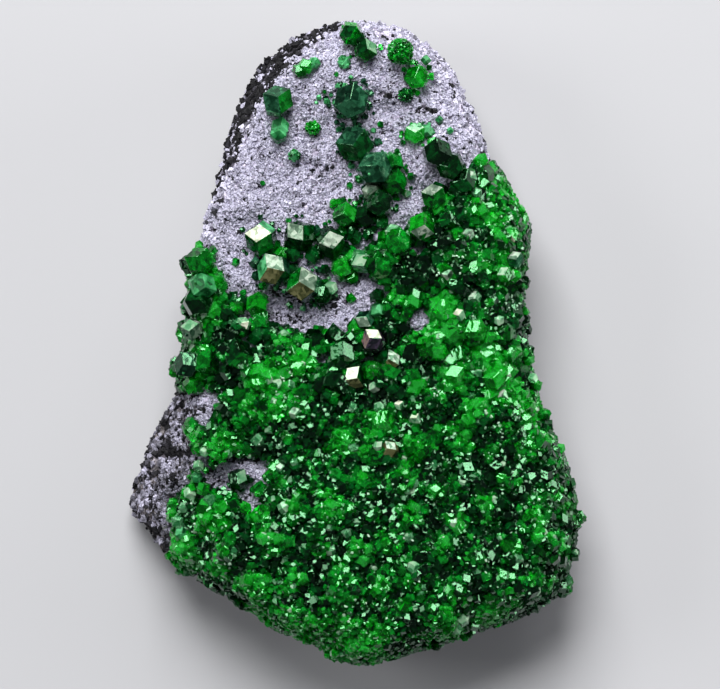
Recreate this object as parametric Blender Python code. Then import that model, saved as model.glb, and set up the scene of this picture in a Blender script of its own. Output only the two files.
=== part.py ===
"""A slab of granular lilac-grey rock with green garnets on its front, lying on its flat back.

The front faces up (+Z) and the slab runs along Y, with the origin under its middle. Lengths are in
millimetres until a mesh is made, which is in metres.
"""

import math

import bmesh
import bpy
import numpy as np
from mathutils import Matrix, Vector
from mathutils.bvhtree import BVHTree
from mathutils.geometry import delaunay_2d_cdt

MM = 0.001

# The silhouette seen from the front, counter-clockwise from the top, in mm
OUTLINE = [
    (-0.2, 24.4), (-1.9, 24.1), (-4.0, 23.4), (-6.1, 22.1), (-7.8, 20.2), (-8.8, 18.0), (-9.6, 15.4),
    (-10.1, 12.5), (-10.9, 10.3), (-11.8, 8.0), (-12.6, 6.2), (-12.8, 4.1), (-12.6, 2.5), (-13.2, 1.1),
    (-13.5, -3.0), (-14.4, -5.0), (-16.3, -9.7), (-17.2, -11.5), (-16.6, -13.0), (-15.4, -14.3),
    (-14.3, -16.9), (-12.4, -17.8), (-10.4, -18.8), (-6.2, -21.5), (-3.1, -22.8), (-1.7, -23.9),
    (0.1, -24.2), (1.9, -24.0), (4.0, -23.4), (8.8, -22.1), (11.4, -21.3), (13.9, -20.0), (16.1, -18.9),
    (16.8, -16.6), (16.9, -14.6), (17.3, -12.8), (16.9, -11.2), (15.4, -7.2), (13.9, -3.5), (13.2, 0.5),
    (13.0, 3.0), (13.0, 5.2), (13.4, 9.2), (12.8, 10.5), (10.5, 13.7), (9.8, 15.0), (9.2, 16.7),
    (8.4, 18.1), (7.3, 20.8), (6.2, 22.0), (4.6, 23.2), (2.6, 24.1),
]

# The ground that the crust of small crystals covers; it runs past the silhouette where it wraps the rim
CRUSTED = [
    (11.8, 14.6), (9.2, 13.3), (8.3, 12.8), (7.6, 11.7), (6.0, 11.7), (5.2, 10.7), (5.3, 9.5), (3.8, 8.6),
    (2.8, 8.1), (1.3, 7.6), (-0.2, 6.9), (-1.4, 6.2), (-1.4, 5.0), (0.0, 4.8), (2.3, 4.8), (2.2, 3.6),
    (1.0, 3.1), (-0.1, 2.3), (-0.5, 0.8), (-2.3, 1.0), (-4.1, 0.8), (-6.2, 1.7), (-7.0, 2.9), (-7.5, 3.6),
    (-9.2, 3.6), (-10.1, 4.3), (-10.5, 5.3), (-10.6, 6.8), (-11.9, 7.6), (-14.0, 7.6), (-14.6, -3.0),
    (-13.0, -3.1), (-10.4, -3.4), (-10.4, -4.4), (-11.3, -6.1), (-12.6, -6.1), (-12.2, -7.5), (-11.0, -8.2),
    (-11.9, -8.8), (-12.1, -10.1), (-13.2, -11.4), (-13.8, -13.5), (-13.4, -15.2), (-16.5, -17.0),
    (-12.4, -20.5), (-8.6, -22.8), (-4.1, -25.0), (0.0, -26.5), (5.0, -26.0), (12.0, -23.8), (18.0, -20.5),
    (19.4, -14.6), (19.2, -10.5), (16.5, -3.0), (15.4, 3.4), (15.7, 10.0), (13.9, 13.6),
]
# Bare windows in the crust: x, y, half length, half width and turn in degrees
WINDOWS = [(-8.6, 0.3, 1.6, 0.5, -14), (-9.2, -9.6, 2.9, 1.3, 4), (4.6, 1.9, 0.8, 0.9, 0)]

# The rock
FRONT = 9.0  # height of the front over the back
DOME = 1.0
SLAB_POINTS = 84  # points round each ring of the slab's side
CRUST_INSET = 0.85  # the rock's rim stands back this far where the crust covers it
# Rings of the side from the foot up: how far in from the rim, and the share of the front's height
GIRTH = 0.5
RINGS = [(1.8, 0.0), (0.6, 0.2), (0.0, GIRTH), (0.45, 0.78), (1.5, 0.95)]
WANDER = 0.3  # how far the side's rings wander in and out
SIDE_ROLL = 2.4  # how far they wander up and down, most at half the height
# Flat chips of the lower side: a point at the chip's foot, the way it faces, and how far it leans out
CHIPS = [
    (-6.3, 16.7, 142, 34), (-9.9, 4.2, 176, 33), (-13.6, -10.5, 203, 40), (-6.9, -17.8, 240, 31),
    (7.0, -19.6, 288, 33), (14.3, -13.8, 337, 31), (10.3, 1.0, 4, 33), (7.2, 13.8, 36, 33), (0.8, 21.5, 82, 31),
]
CHIP_REACH = 7.5
CHIP_FADE = 3.0
# Swells and hollows of the front: x, y, radius and rise
SWELLS = [
    (8.0, 4.5, 6.0, 0.8), (-8.5, -2.6, 3.6, 0.7), (-5.0, 1.6, 2.4, -0.8), (-9.5, 0.4, 1.5, -0.5),
    (2.0, -12.0, 8.0, 0.6), (0.0, 17.0, 8.0, -0.4), (3.3, 0.6, 2.4, -0.5), (-9.2, -9.6, 2.6, -0.5),
    (-3.6, -5.0, 3.0, 0.4), (11.0, -12.0, 3.5, -0.4),
]
# Lumps of the front: size across, rise and seed
LUMPS = [(6.0, 0.26, 3), (3.0, 0.14, 8), (1.7, 0.07, 5)]
# Broken faces of the front: a point on each one's upper edge, the way it falls, and its slope
BREAKS = [
    (-11.8, -9.0, -165, 0.85),
    (-7.2, 17.2, 146, 2.4),
    (13.2, -18.2, -63, 1.2),
    (15.2, -9.0, -8, 1.0),
]
FINE_STEP = 1.15  # spacing of the front's points on bare rock
COARSE_STEP = 2.5  # the same under the crust

# The crystals
GAP = 0.3  # clearance between the rock and what grows on it
SKIN = 0.85  # height of the crust's common base over the rock
SKIN_FOOT = 0.63  # where the crust ends on the sides, as a share of the front's height
RIM_ROW = {"places": 50, "inset": 0.25, "share": 0.76, "widths": (1.95, 2.35), "tilt": 40}
CRUST_ROWS = {"step": 2.9, "inset": 0.6, "lifts": (0.1, 0.55), "widths": (2.5, 3.3), "tilt": 28, "stretch": 0.1}
# Room that the crust's small crystals leave, between middles: to field crystals, larger ones and the rim
FIELD_ROOM, LARGE_ROOM, RIM_ROOM, WINDOW_ROOM = 1.6, 0.75, 1.2, 0.5

# Larger crystals of the crust: x, y, width, tilt about X, tilt about Y and spin in degrees
CRUST_CRYSTALS = [
    (-11.5, 6.1, 2.1, -20, -12, 20), (-11.2, 4.5, 2.0, 5, 15, 70), (-11.4, 2.7, 2.2, -10, 8, 35),
    (-12.2, 0.9, 1.6, 10, -20, 10), (-12.4, -1.8, 2.0, 0, -25, 80), (-10.7, -1.3, 2.1, 15, 10, 50),
    (-8.9, -0.9, 3.1, -6, 5, 15), (-7.3, 3.3, 1.7, 12, -9, 60), (-0.9, 5.7, 1.6, 10, 14, 40),
    (0.5, 6.2, 1.9, -12, 6, 25), (2.0, 5.8, 1.9, 8, -15, 75), (5.1, 8.7, 2.1, -8, 10, 30),
    (3.0, 7.5, 2.0, 14, 5, 55), (6.2, 10.9, 1.9, -5, -8, 10), (7.0, 9.3, 1.6, 12, 12, 65),
    (7.9, 12.0, 1.9, -15, 10, 45), (6.9, 13.3, 2.1, 6, -12, 20), (6.1, 14.3, 2.2, -8, 8, 70),
    (0.7, 1.7, 1.6, -4, 6, 5), (1.6, 2.6, 1.3, 12, 10, 50), (1.1, 0.1, 1.6, -10, -6, 15),
    (-1.0, -0.5, 2.0, 8, 6, 60), (2.8, -0.9, 1.8, -6, 4, 0), (-0.1, -2.4, 1.4, 0, -5, 8),
    (8.9, 1.2, 1.8, 10, 8, 35), (10.4, -2.6, 1.7, -8, -10, 20), (2.0, -5.8, 1.9, 5, 12, 44),
]
# Crystals on the bare field, by piece, in the same terms
FIELD_CRYSTALS = {
    "crystals_top_edge": [
        (-0.4, 23.2, 1.6, 20, 0, 30), (0.2, 22.8, 1.3, 5, -10, 80), (0.8, 22.1, 1.7, -6, 12, 65),
    ],
    "crystal_top_small": [(-0.9, 21.0, 1.1, 10, -8, 20)],
    "crystal_top_flat": [(-3.8, 20.6, 1.4, 4, 22, 50)],
    "crystal_upper_right": [(3.3, 21.8, 2.1, -8, 10, 15)],
    "crystals_right_pair": [(4.4, 20.0, 1.8, 5, -12, 40), (3.8, 18.9, 1.2, -10, 5, 75)],
    "crystal_left_large": [(-5.8, 18.3, 2.3, 12, 6, 25)],
    "crystal_left_low": [(-5.6, 16.0, 1.5, -14, 10, 60)],
    "crystal_left_small": [(-4.6, 14.2, 1.0, 8, 8, 35)],
    "crystal_field_small": [(-3.2, 16.3, 1.2, 0, -15, 10)],
    "crystal_dark_large": [(-0.3, 18.4, 2.8, -6, -4, 50)],
    "crystals_middle": [
        (0.0, 14.9, 3.0, 6, -5, 5), (1.3, 13.2, 2.7, -10, 8, 30), (2.7, 13.7, 1.6, 14, 12, 70),
        (2.8, 11.9, 1.9, -5, 10, 45), (1.2, 11.4, 1.5, 10, -14, 15), (1.9, 10.4, 2.0, -12, -6, 60),
        (0.9, 9.5, 1.7, 8, 8, 20), (-0.6, 9.6, 1.9, -10, -10, 50),
    ],
    "crystals_chain_end": [(4.5, 15.7, 1.6, -4, 8, 0), (5.4, 16.0, 1.0, 15, 5, 40)],
    "crystal_cube_left": [(-7.3, 8.1, 2.1, -8, -6, 6)],
    "crystals_cube_pair": [(-4.0, 8.0, 2.0, -4, 6, -8), (-2.3, 7.8, 2.0, 6, 10, 12)],
    "crystal_cube_low": [(-6.1, 5.7, 2.2, 2, -8, 4)],
    "crystals_cube_three": [(-3.6, 4.6, 2.5, 4, 5, -6), (-2.2, 3.7, 1.7, 10, 12, 40), (-1.9, 4.9, 1.1, -8, 0, 15)],
    "crystal_window": [(-8.3, -9.9, 1.4, 6, -6, 25)],
}
LIFT = 0.3  # height of a named crystal's middle over the rock, as a share of its width
UNIT_WIDTH = 3.2  # mean width of the crystal shape whose blunt corners are at 1 on each axis

GARNET = {"colour": (0.01, 0.26, 0.05, 1), "roughness": 0.08, "ior": 1.87, "transmission": 0.5}
ROCK = {"colour": (0.36, 0.33, 0.42, 1), "roughness": 0.9, "ior": 1.5, "transmission": 0}


def inside(x, y, polygon):
    """True where a point lies in the polygon: a level line from it crosses the edges an odd number of times."""
    result = np.zeros(np.shape(x), bool)
    for (x0, y0), (x1, y1) in zip(polygon, np.roll(polygon, -1, 0)):
        if y0 != y1:
            crosses = ((y0 > y) != (y1 > y)) & (x < x0 + (y - y0) * (x1 - x0) / (y1 - y0))
            result ^= crosses
    return result


def distance_to(x, y, polygon):
    """The distance from each point to the polygon's nearest edge."""
    nearest = np.full(np.shape(x), np.inf)
    for (x0, y0), (x1, y1) in zip(polygon, np.roll(polygon, -1, 0)):
        dx, dy = x1 - x0, y1 - y0
        along = np.clip(((x - x0) * dx + (y - y0) * dy) / (dx * dx + dy * dy), 0, 1)
        nearest = np.minimum(nearest, np.hypot(x - x0 - along * dx, y - y0 - along * dy))
    return nearest


def in_window(x, y, margin):
    """True where a point lies in one of the bare windows, made larger by the margin."""
    result = np.zeros(np.shape(x), bool)
    for cx, cy, length, width, turn in WINDOWS:
        c, s = math.cos(math.radians(turn)), math.sin(math.radians(turn))
        along, across = (x - cx) * c + (y - cy) * s, (y - cy) * c - (x - cx) * s
        result |= (along / (length + margin)) ** 2 + (across / (width + margin)) ** 2 < 1
    return result


def lumps(x, y, size, rise, seed):
    """Rolling lumps of about the given size: seven plane waves in seeded directions, added up."""
    rng = np.random.default_rng(seed)
    total = np.zeros(np.shape(x))
    for turn, phase, stretch in rng.uniform((0, 0, 0.7), (math.pi, 2 * math.pi, 1.4), (7, 3)):
        along = x * math.cos(turn) + y * math.sin(turn)
        total += np.sin(along * 2 * math.pi * stretch / size + phase)
    return rise * total / math.sqrt(7)


def front_height(x, y):
    """The front over the back: a low dome, swells and lumps, cut by the sloping broken faces."""
    height = FRONT + DOME * (1 - (x / 20) ** 2 - ((y + 4) / 30) ** 2)
    for cx, cy, radius, rise in SWELLS:
        height = height + rise * np.exp(-((x - cx) ** 2 + (y - cy) ** 2) / radius**2)
    for cx, cy, way, slope in BREAKS:
        out = (x - cx) * math.cos(math.radians(way)) + (y - cy) * math.sin(math.radians(way))
        height = np.minimum(height, FRONT - slope * out)
    for size, rise, seed in LUMPS:
        height = height + lumps(x, y, size, rise, seed)
    return height


def even_loop(polygon, count):
    """Points at equal steps along the closed polygon."""
    closed = np.vstack((polygon, polygon[:1]))
    run = np.append(0, np.cumsum(np.hypot(*np.diff(closed, axis=0).T)))
    steps = np.arange(count) * run[-1] / count
    return np.stack([np.interp(steps, run, closed[:, axis]) for axis in (0, 1)], 1)


def pulled_in(loop, distance):
    """The counter-clockwise loop with each point moved inwards, square to the line through its neighbours."""
    along = np.roll(loop, -1, 0) - np.roll(loop, 1, 0)
    inward = np.stack((-along[:, 1], along[:, 0]), 1) / np.linalg.norm(along, axis=1)[:, None]
    return loop + inward * np.reshape(distance, (-1, 1))


def rock_rim():
    """The rock's own rim: the silhouette, stepped back smoothly where the crust wraps it."""
    loop = even_loop(np.array(OUTLINE), SLAB_POINTS)
    covered = inside(*loop.T, CRUSTED).astype(float)
    covered = sum(np.roll(covered, shift) for shift in (-1, 0, 1)) / 3
    return pulled_in(loop, CRUST_INSET * covered)


def chipped(loop, heights):
    """The loop pressed back to each chip's plane, which leans out the higher it is and fades out at its ends."""
    for x, y, way, lean in CHIPS:
        out = np.array((math.cos(math.radians(way)), math.sin(math.radians(way))))
        beyond = (loop - (x, y)) @ out - heights * math.tan(math.radians(lean))
        fade = np.clip((CHIP_REACH - np.hypot(*(loop - (x, y)).T)) / CHIP_FADE, 0, 1)
        loop = loop - (np.maximum(beyond, 0) * fade)[:, None] * out
    return loop


def hex_points(step, seed):
    """A honeycomb of points over the slab, each moved a little at random."""
    rng = np.random.default_rng(seed)
    rows, columns = np.meshgrid(np.arange(-30, 31), np.arange(-24, 25), indexing="ij")
    x = (columns + 0.5 * (rows % 2)) * step
    y = rows * step * math.sqrt(0.75)
    limit = (np.abs(x) < 20) & (np.abs(y) < 26)
    points = np.stack((x[limit], y[limit]), 1)
    return points + rng.uniform(-0.17, 0.17, points.shape) * step


def front_points(brow):
    """Points of the front inside its upper ring: close together on bare rock and wide apart under the crust."""
    chosen = []
    for step, under_crust, seed in ((FINE_STEP, False, 1), (COARSE_STEP, True, 2)):
        points = hex_points(step, seed)
        bare = ~inside(*points.T, CRUSTED) | in_window(*points.T, 0.4)
        near_rim = distance_to(*points.T, brow) < 0.45 * step
        chosen.append(points[inside(*points.T, brow) & ~near_rim & (bare != under_crust)])
    return np.vstack(chosen)


def rock_shape():
    """The slab as a bmesh in mm: rings up its side, a flat foot, and a triangulated front in the top ring."""
    rim = rock_rim()
    shape = bmesh.new()
    rings = []
    for inset, share in RINGS:
        loop = pulled_in(rim, inset + lumps(*rim.T, 5.0, WANDER * min(inset, 1), 11))
        roll = lumps(*rim.T, 7.0, SIDE_ROLL * share * (1 - share), 12)
        heights = share * front_height(*loop.T) + roll
        if share < GIRTH:
            loop = chipped(loop, heights)
        rings.append([shape.verts.new((x, y, z)) for (x, y), z in zip(loop, heights)])
    brow = loop
    field = front_points(brow)
    heights = front_height(*field.T)
    inner = [shape.verts.new((x, y, z)) for (x, y), z in zip(field, heights)]
    corners = rings[-1] + inner
    flat = [Vector(point) for point in np.vstack((brow, field))]
    edges = [(k, (k + 1) % SLAB_POINTS) for k in range(SLAB_POINTS)]
    _, _, faces, sources, _, _ = delaunay_2d_cdt(flat, edges, [], 1, 1e-6)
    for face in faces:
        shape.faces.new([corners[sources[k][0]] for k in face])
    for lower, upper in zip(rings, rings[1:]):
        for k in range(SLAB_POINTS):
            ahead = (k + 1) % SLAB_POINTS
            shape.faces.new((lower[k], lower[ahead], upper[ahead], upper[k]))
    shape.faces.new(reversed(rings[0]))
    bmesh.ops.triangulate(shape, faces=[f for f in shape.faces if len(f.verts) == 4])
    bmesh.ops.recalc_face_normals(shape, faces=shape.faces)
    return shape


def grown(shape, distance):
    """A copy of the slab with every face moved out by about the distance."""
    copy = shape.copy()
    copy.normal_update()
    moves = [vert.normal * vert.calc_shell_factor() * distance for vert in copy.verts]
    for vert, move in zip(copy.verts, moves):
        vert.co += move
    return copy


def add_crystal(shape, middle, width, tilt_x, tilt_y, spin, stretch=(1, 1, 1)):
    """Adds a rhombic dodecahedron: twelve rhombs, each over an edge of the cube between its blunt corners.

    At no tilt and no spin three of its rhombs face up round a blunt corner, the first towards +Y.
    """
    corner_up = Vector((1, 1, 1)).rotation_difference((0, 0, 1)).to_matrix().to_4x4()
    first_face = corner_up @ Vector((1, 1, 0))
    start = math.pi / 2 - math.atan2(first_face.y, first_face.x)
    place = (
        Matrix.Translation(middle)
        @ Matrix.Rotation(math.radians(tilt_x), 4, "X")
        @ Matrix.Rotation(math.radians(tilt_y), 4, "Y")
        @ Matrix.Rotation(start + math.radians(spin), 4, "Z")
        @ corner_up
        @ Matrix.Diagonal((*stretch, 1))
        @ Matrix.Scale(width / UNIT_WIDTH, 4)
    )
    corners = [(a, b, c) for a in (-1, 1) for b in (-1, 1) for c in (-1, 1)]
    for axis in range(3):
        for side in (-1, 1):
            corners.append(tuple(2 * side if k == axis else 0 for k in range(3)))
    placed = {corner: shape.verts.new(place @ Vector(corner)) for corner in corners}
    faces = []
    for first in range(3):
        second, other = (first + 1) % 3, (first + 2) % 3
        for a in (-1, 1):
            for b in (-1, 1):
                key = [[0, 0, 0] for _ in range(4)]
                key[0][first] = 2 * a
                key[2][second] = 2 * b
                for index, c in ((1, -1), (3, 1)):
                    key[index][first], key[index][second], key[index][other] = a, b, c
                faces.append(shape.faces.new([placed[tuple(k)] for k in key]))
    bmesh.ops.recalc_face_normals(shape, faces=faces)


def standing_at(surface, x, y, lift):
    """The point over the rock's front at x and y, raised square to the ground."""
    spot, normal, _, _ = surface.ray_cast(Vector((x, y, 40)), Vector((0, 0, -1)))
    return spot + normal * lift


def crust_shape(surface):
    """All crystals of the crust in one bmesh: the larger ones, a row round the rim and the rest between."""
    rng = np.random.default_rng(21)
    shape = bmesh.new()
    taken = []
    for group in FIELD_CRYSTALS.values():
        taken += [(x, y, width / 2 + FIELD_ROOM) for x, y, width, *_ in group]
    for x, y, width, *turn in CRUST_CRYSTALS:
        add_crystal(shape, standing_at(surface, x, y, LIFT * width), width, *turn)
        taken.append((x, y, width / 2 + LARGE_ROOM))
    rim = even_loop(rock_rim(), RIM_ROW["places"])
    for (x, y), (x_in, y_in) in zip(rim, pulled_in(rim, RIM_ROW["inset"])):
        if inside(np.array(x), np.array(y), CRUSTED):
            middle = Vector((x_in, y_in, RIM_ROW["share"] * float(front_height(x, y))))
            turn = rng.uniform(-1, 1, 3) * (RIM_ROW["tilt"], RIM_ROW["tilt"], 60)
            add_crystal(shape, middle, rng.uniform(*RIM_ROW["widths"]), *turn)
            taken.append((x_in, y_in, RIM_ROOM))
    points = hex_points(CRUST_ROWS["step"], 6)
    well_in = inside(*points.T, pulled_in(rock_rim(), CRUST_ROWS["inset"]))
    keep = inside(*points.T, CRUSTED) & well_in & ~in_window(*points.T, WINDOW_ROOM)
    for x, y in points[keep]:
        width = rng.uniform(*CRUST_ROWS["widths"])
        turn = rng.uniform(-1, 1, 3) * (CRUST_ROWS["tilt"], CRUST_ROWS["tilt"], 60)
        stretch = 1 + CRUST_ROWS["stretch"] * rng.uniform(-1, 1, 3)
        if all(math.hypot(x - a, y - b) > room for a, b, room in taken):
            middle = standing_at(surface, x, y, rng.uniform(*CRUST_ROWS["lifts"]))
            add_crystal(shape, middle, width, *turn, stretch)
    return shape


def prism(shape, loop, bottoms):
    """Adds an upright prism over the loop, from the given height at each corner to clear of the crystals."""
    low = [shape.verts.new((x, y, z)) for (x, y), z in zip(loop, bottoms)]
    high = [shape.verts.new((x, y, 2 * FRONT)) for x, y in loop]
    faces = [shape.faces.new(reversed(low)), shape.faces.new(high)]
    for k in range(len(loop)):
        ahead = (k + 1) % len(loop)
        faces.append(shape.faces.new((low[k], low[ahead], high[ahead], high[k])))
    bmesh.ops.recalc_face_normals(shape, faces=faces)


def window_shape():
    """The bare windows as upright prisms with twelve sides."""
    shape = bmesh.new()
    for cx, cy, length, width, turn in WINDOWS:
        c, s = math.cos(math.radians(turn)), math.sin(math.radians(turn))
        angles = np.arange(12) * math.pi / 6
        along, across = length * np.cos(angles), width * np.sin(angles)
        loop = np.stack((cx + along * c - across * s, cy + along * s + across * c), 1)
        prism(shape, loop, np.zeros(len(loop)))
    return shape


def region_shape():
    """An upright prism over the ground that the crust covers, down to where the crust ends on the sides."""
    shape = bmesh.new()
    prism(shape, CRUSTED, SKIN_FOOT * front_height(*np.array(CRUSTED).T))
    return shape


def make_object(name, shape, material=None):
    """An object of the shape, in metres. Without a material it is a helper that isn't rendered."""
    mesh = bpy.data.meshes.new(name)
    shape.transform(Matrix.Scale(MM, 4))
    shape.to_mesh(mesh)
    shape.free()
    obj = bpy.data.objects.new(name, mesh)
    bpy.context.scene.collection.objects.link(obj)
    if material:
        mesh.materials.append(material)
    else:
        obj.hide_render = True
        obj.display_type = "WIRE"
    return obj


def add_boolean(obj, name, operation, other, overlapping=False):
    """A Boolean on the object; overlapping says that a mesh crosses itself."""
    modifier = obj.modifiers.new(name, "BOOLEAN")
    modifier.operation = operation
    modifier.object = other
    modifier.use_self = overlapping


def make_material(name, look):
    material = bpy.data.materials.new(name)
    material.use_nodes = True
    shader = material.node_tree.nodes["Principled BSDF"]
    shader.inputs["Base Color"].default_value = look["colour"]
    shader.inputs["Roughness"].default_value = look["roughness"]
    shader.inputs["Metallic"].default_value = 0
    shader.inputs["IOR"].default_value = look["ior"]
    shader.inputs["Transmission Weight"].default_value = look["transmission"]
    material.diffuse_color = look["colour"]
    return material


def main():
    for obj in list(bpy.data.objects):
        bpy.data.objects.remove(obj, do_unlink=True)
    rock = rock_shape()
    surface = BVHTree.FromBMesh(rock)
    clearance = make_object("matrix_clearance", grown(rock, GAP))
    crust = make_object("garnet_crust", grown(rock, SKIN), make_material("garnet_crust", GARNET))
    crystals = make_object("crust_crystals", crust_shape(surface))
    add_boolean(crust, "region", "INTERSECT", make_object("crust_region", region_shape()))
    add_boolean(crust, "windows", "DIFFERENCE", make_object("crust_windows", window_shape()))
    add_boolean(crust, "crystals", "UNION", crystals, overlapping=True)
    add_boolean(crust, "rock", "DIFFERENCE", clearance)
    for name, group in FIELD_CRYSTALS.items():
        shape = bmesh.new()
        for x, y, width, *turn in group:
            add_crystal(shape, standing_at(surface, x, y, LIFT * width), width, *turn)
        obj = make_object(name, shape, make_material(name, GARNET))
        add_boolean(obj, "rock", "DIFFERENCE", clearance, overlapping=True)
    make_object("matrix", rock, make_material("matrix", ROCK))


main()
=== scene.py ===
import math

import bpy
import numpy as np
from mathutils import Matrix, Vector
from mathutils.bvhtree import BVHTree


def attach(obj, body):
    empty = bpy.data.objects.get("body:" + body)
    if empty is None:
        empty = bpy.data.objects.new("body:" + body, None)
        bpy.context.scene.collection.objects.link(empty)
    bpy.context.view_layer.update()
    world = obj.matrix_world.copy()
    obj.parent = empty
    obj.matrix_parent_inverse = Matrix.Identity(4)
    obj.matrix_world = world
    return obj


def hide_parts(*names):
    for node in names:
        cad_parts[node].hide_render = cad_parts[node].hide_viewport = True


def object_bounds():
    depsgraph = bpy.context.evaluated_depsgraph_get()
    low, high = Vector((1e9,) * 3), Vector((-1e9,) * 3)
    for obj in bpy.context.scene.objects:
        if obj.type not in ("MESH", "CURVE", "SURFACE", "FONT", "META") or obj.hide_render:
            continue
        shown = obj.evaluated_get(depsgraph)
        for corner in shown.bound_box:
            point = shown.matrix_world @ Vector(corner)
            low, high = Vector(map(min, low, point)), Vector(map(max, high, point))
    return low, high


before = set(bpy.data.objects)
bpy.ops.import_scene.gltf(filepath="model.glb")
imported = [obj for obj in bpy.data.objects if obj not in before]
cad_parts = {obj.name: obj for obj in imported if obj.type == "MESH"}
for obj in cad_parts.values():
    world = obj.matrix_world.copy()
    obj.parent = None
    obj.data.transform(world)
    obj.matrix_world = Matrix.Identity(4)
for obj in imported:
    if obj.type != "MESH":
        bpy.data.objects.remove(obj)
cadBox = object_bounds()
print("frame: loaded")

# Every length in the dictionaries is in millimetres; a mesh is made in metres
mm = 0.001
boxLow, boxHigh = (np.array(corner) / mm for corner in cadBox)

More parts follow.
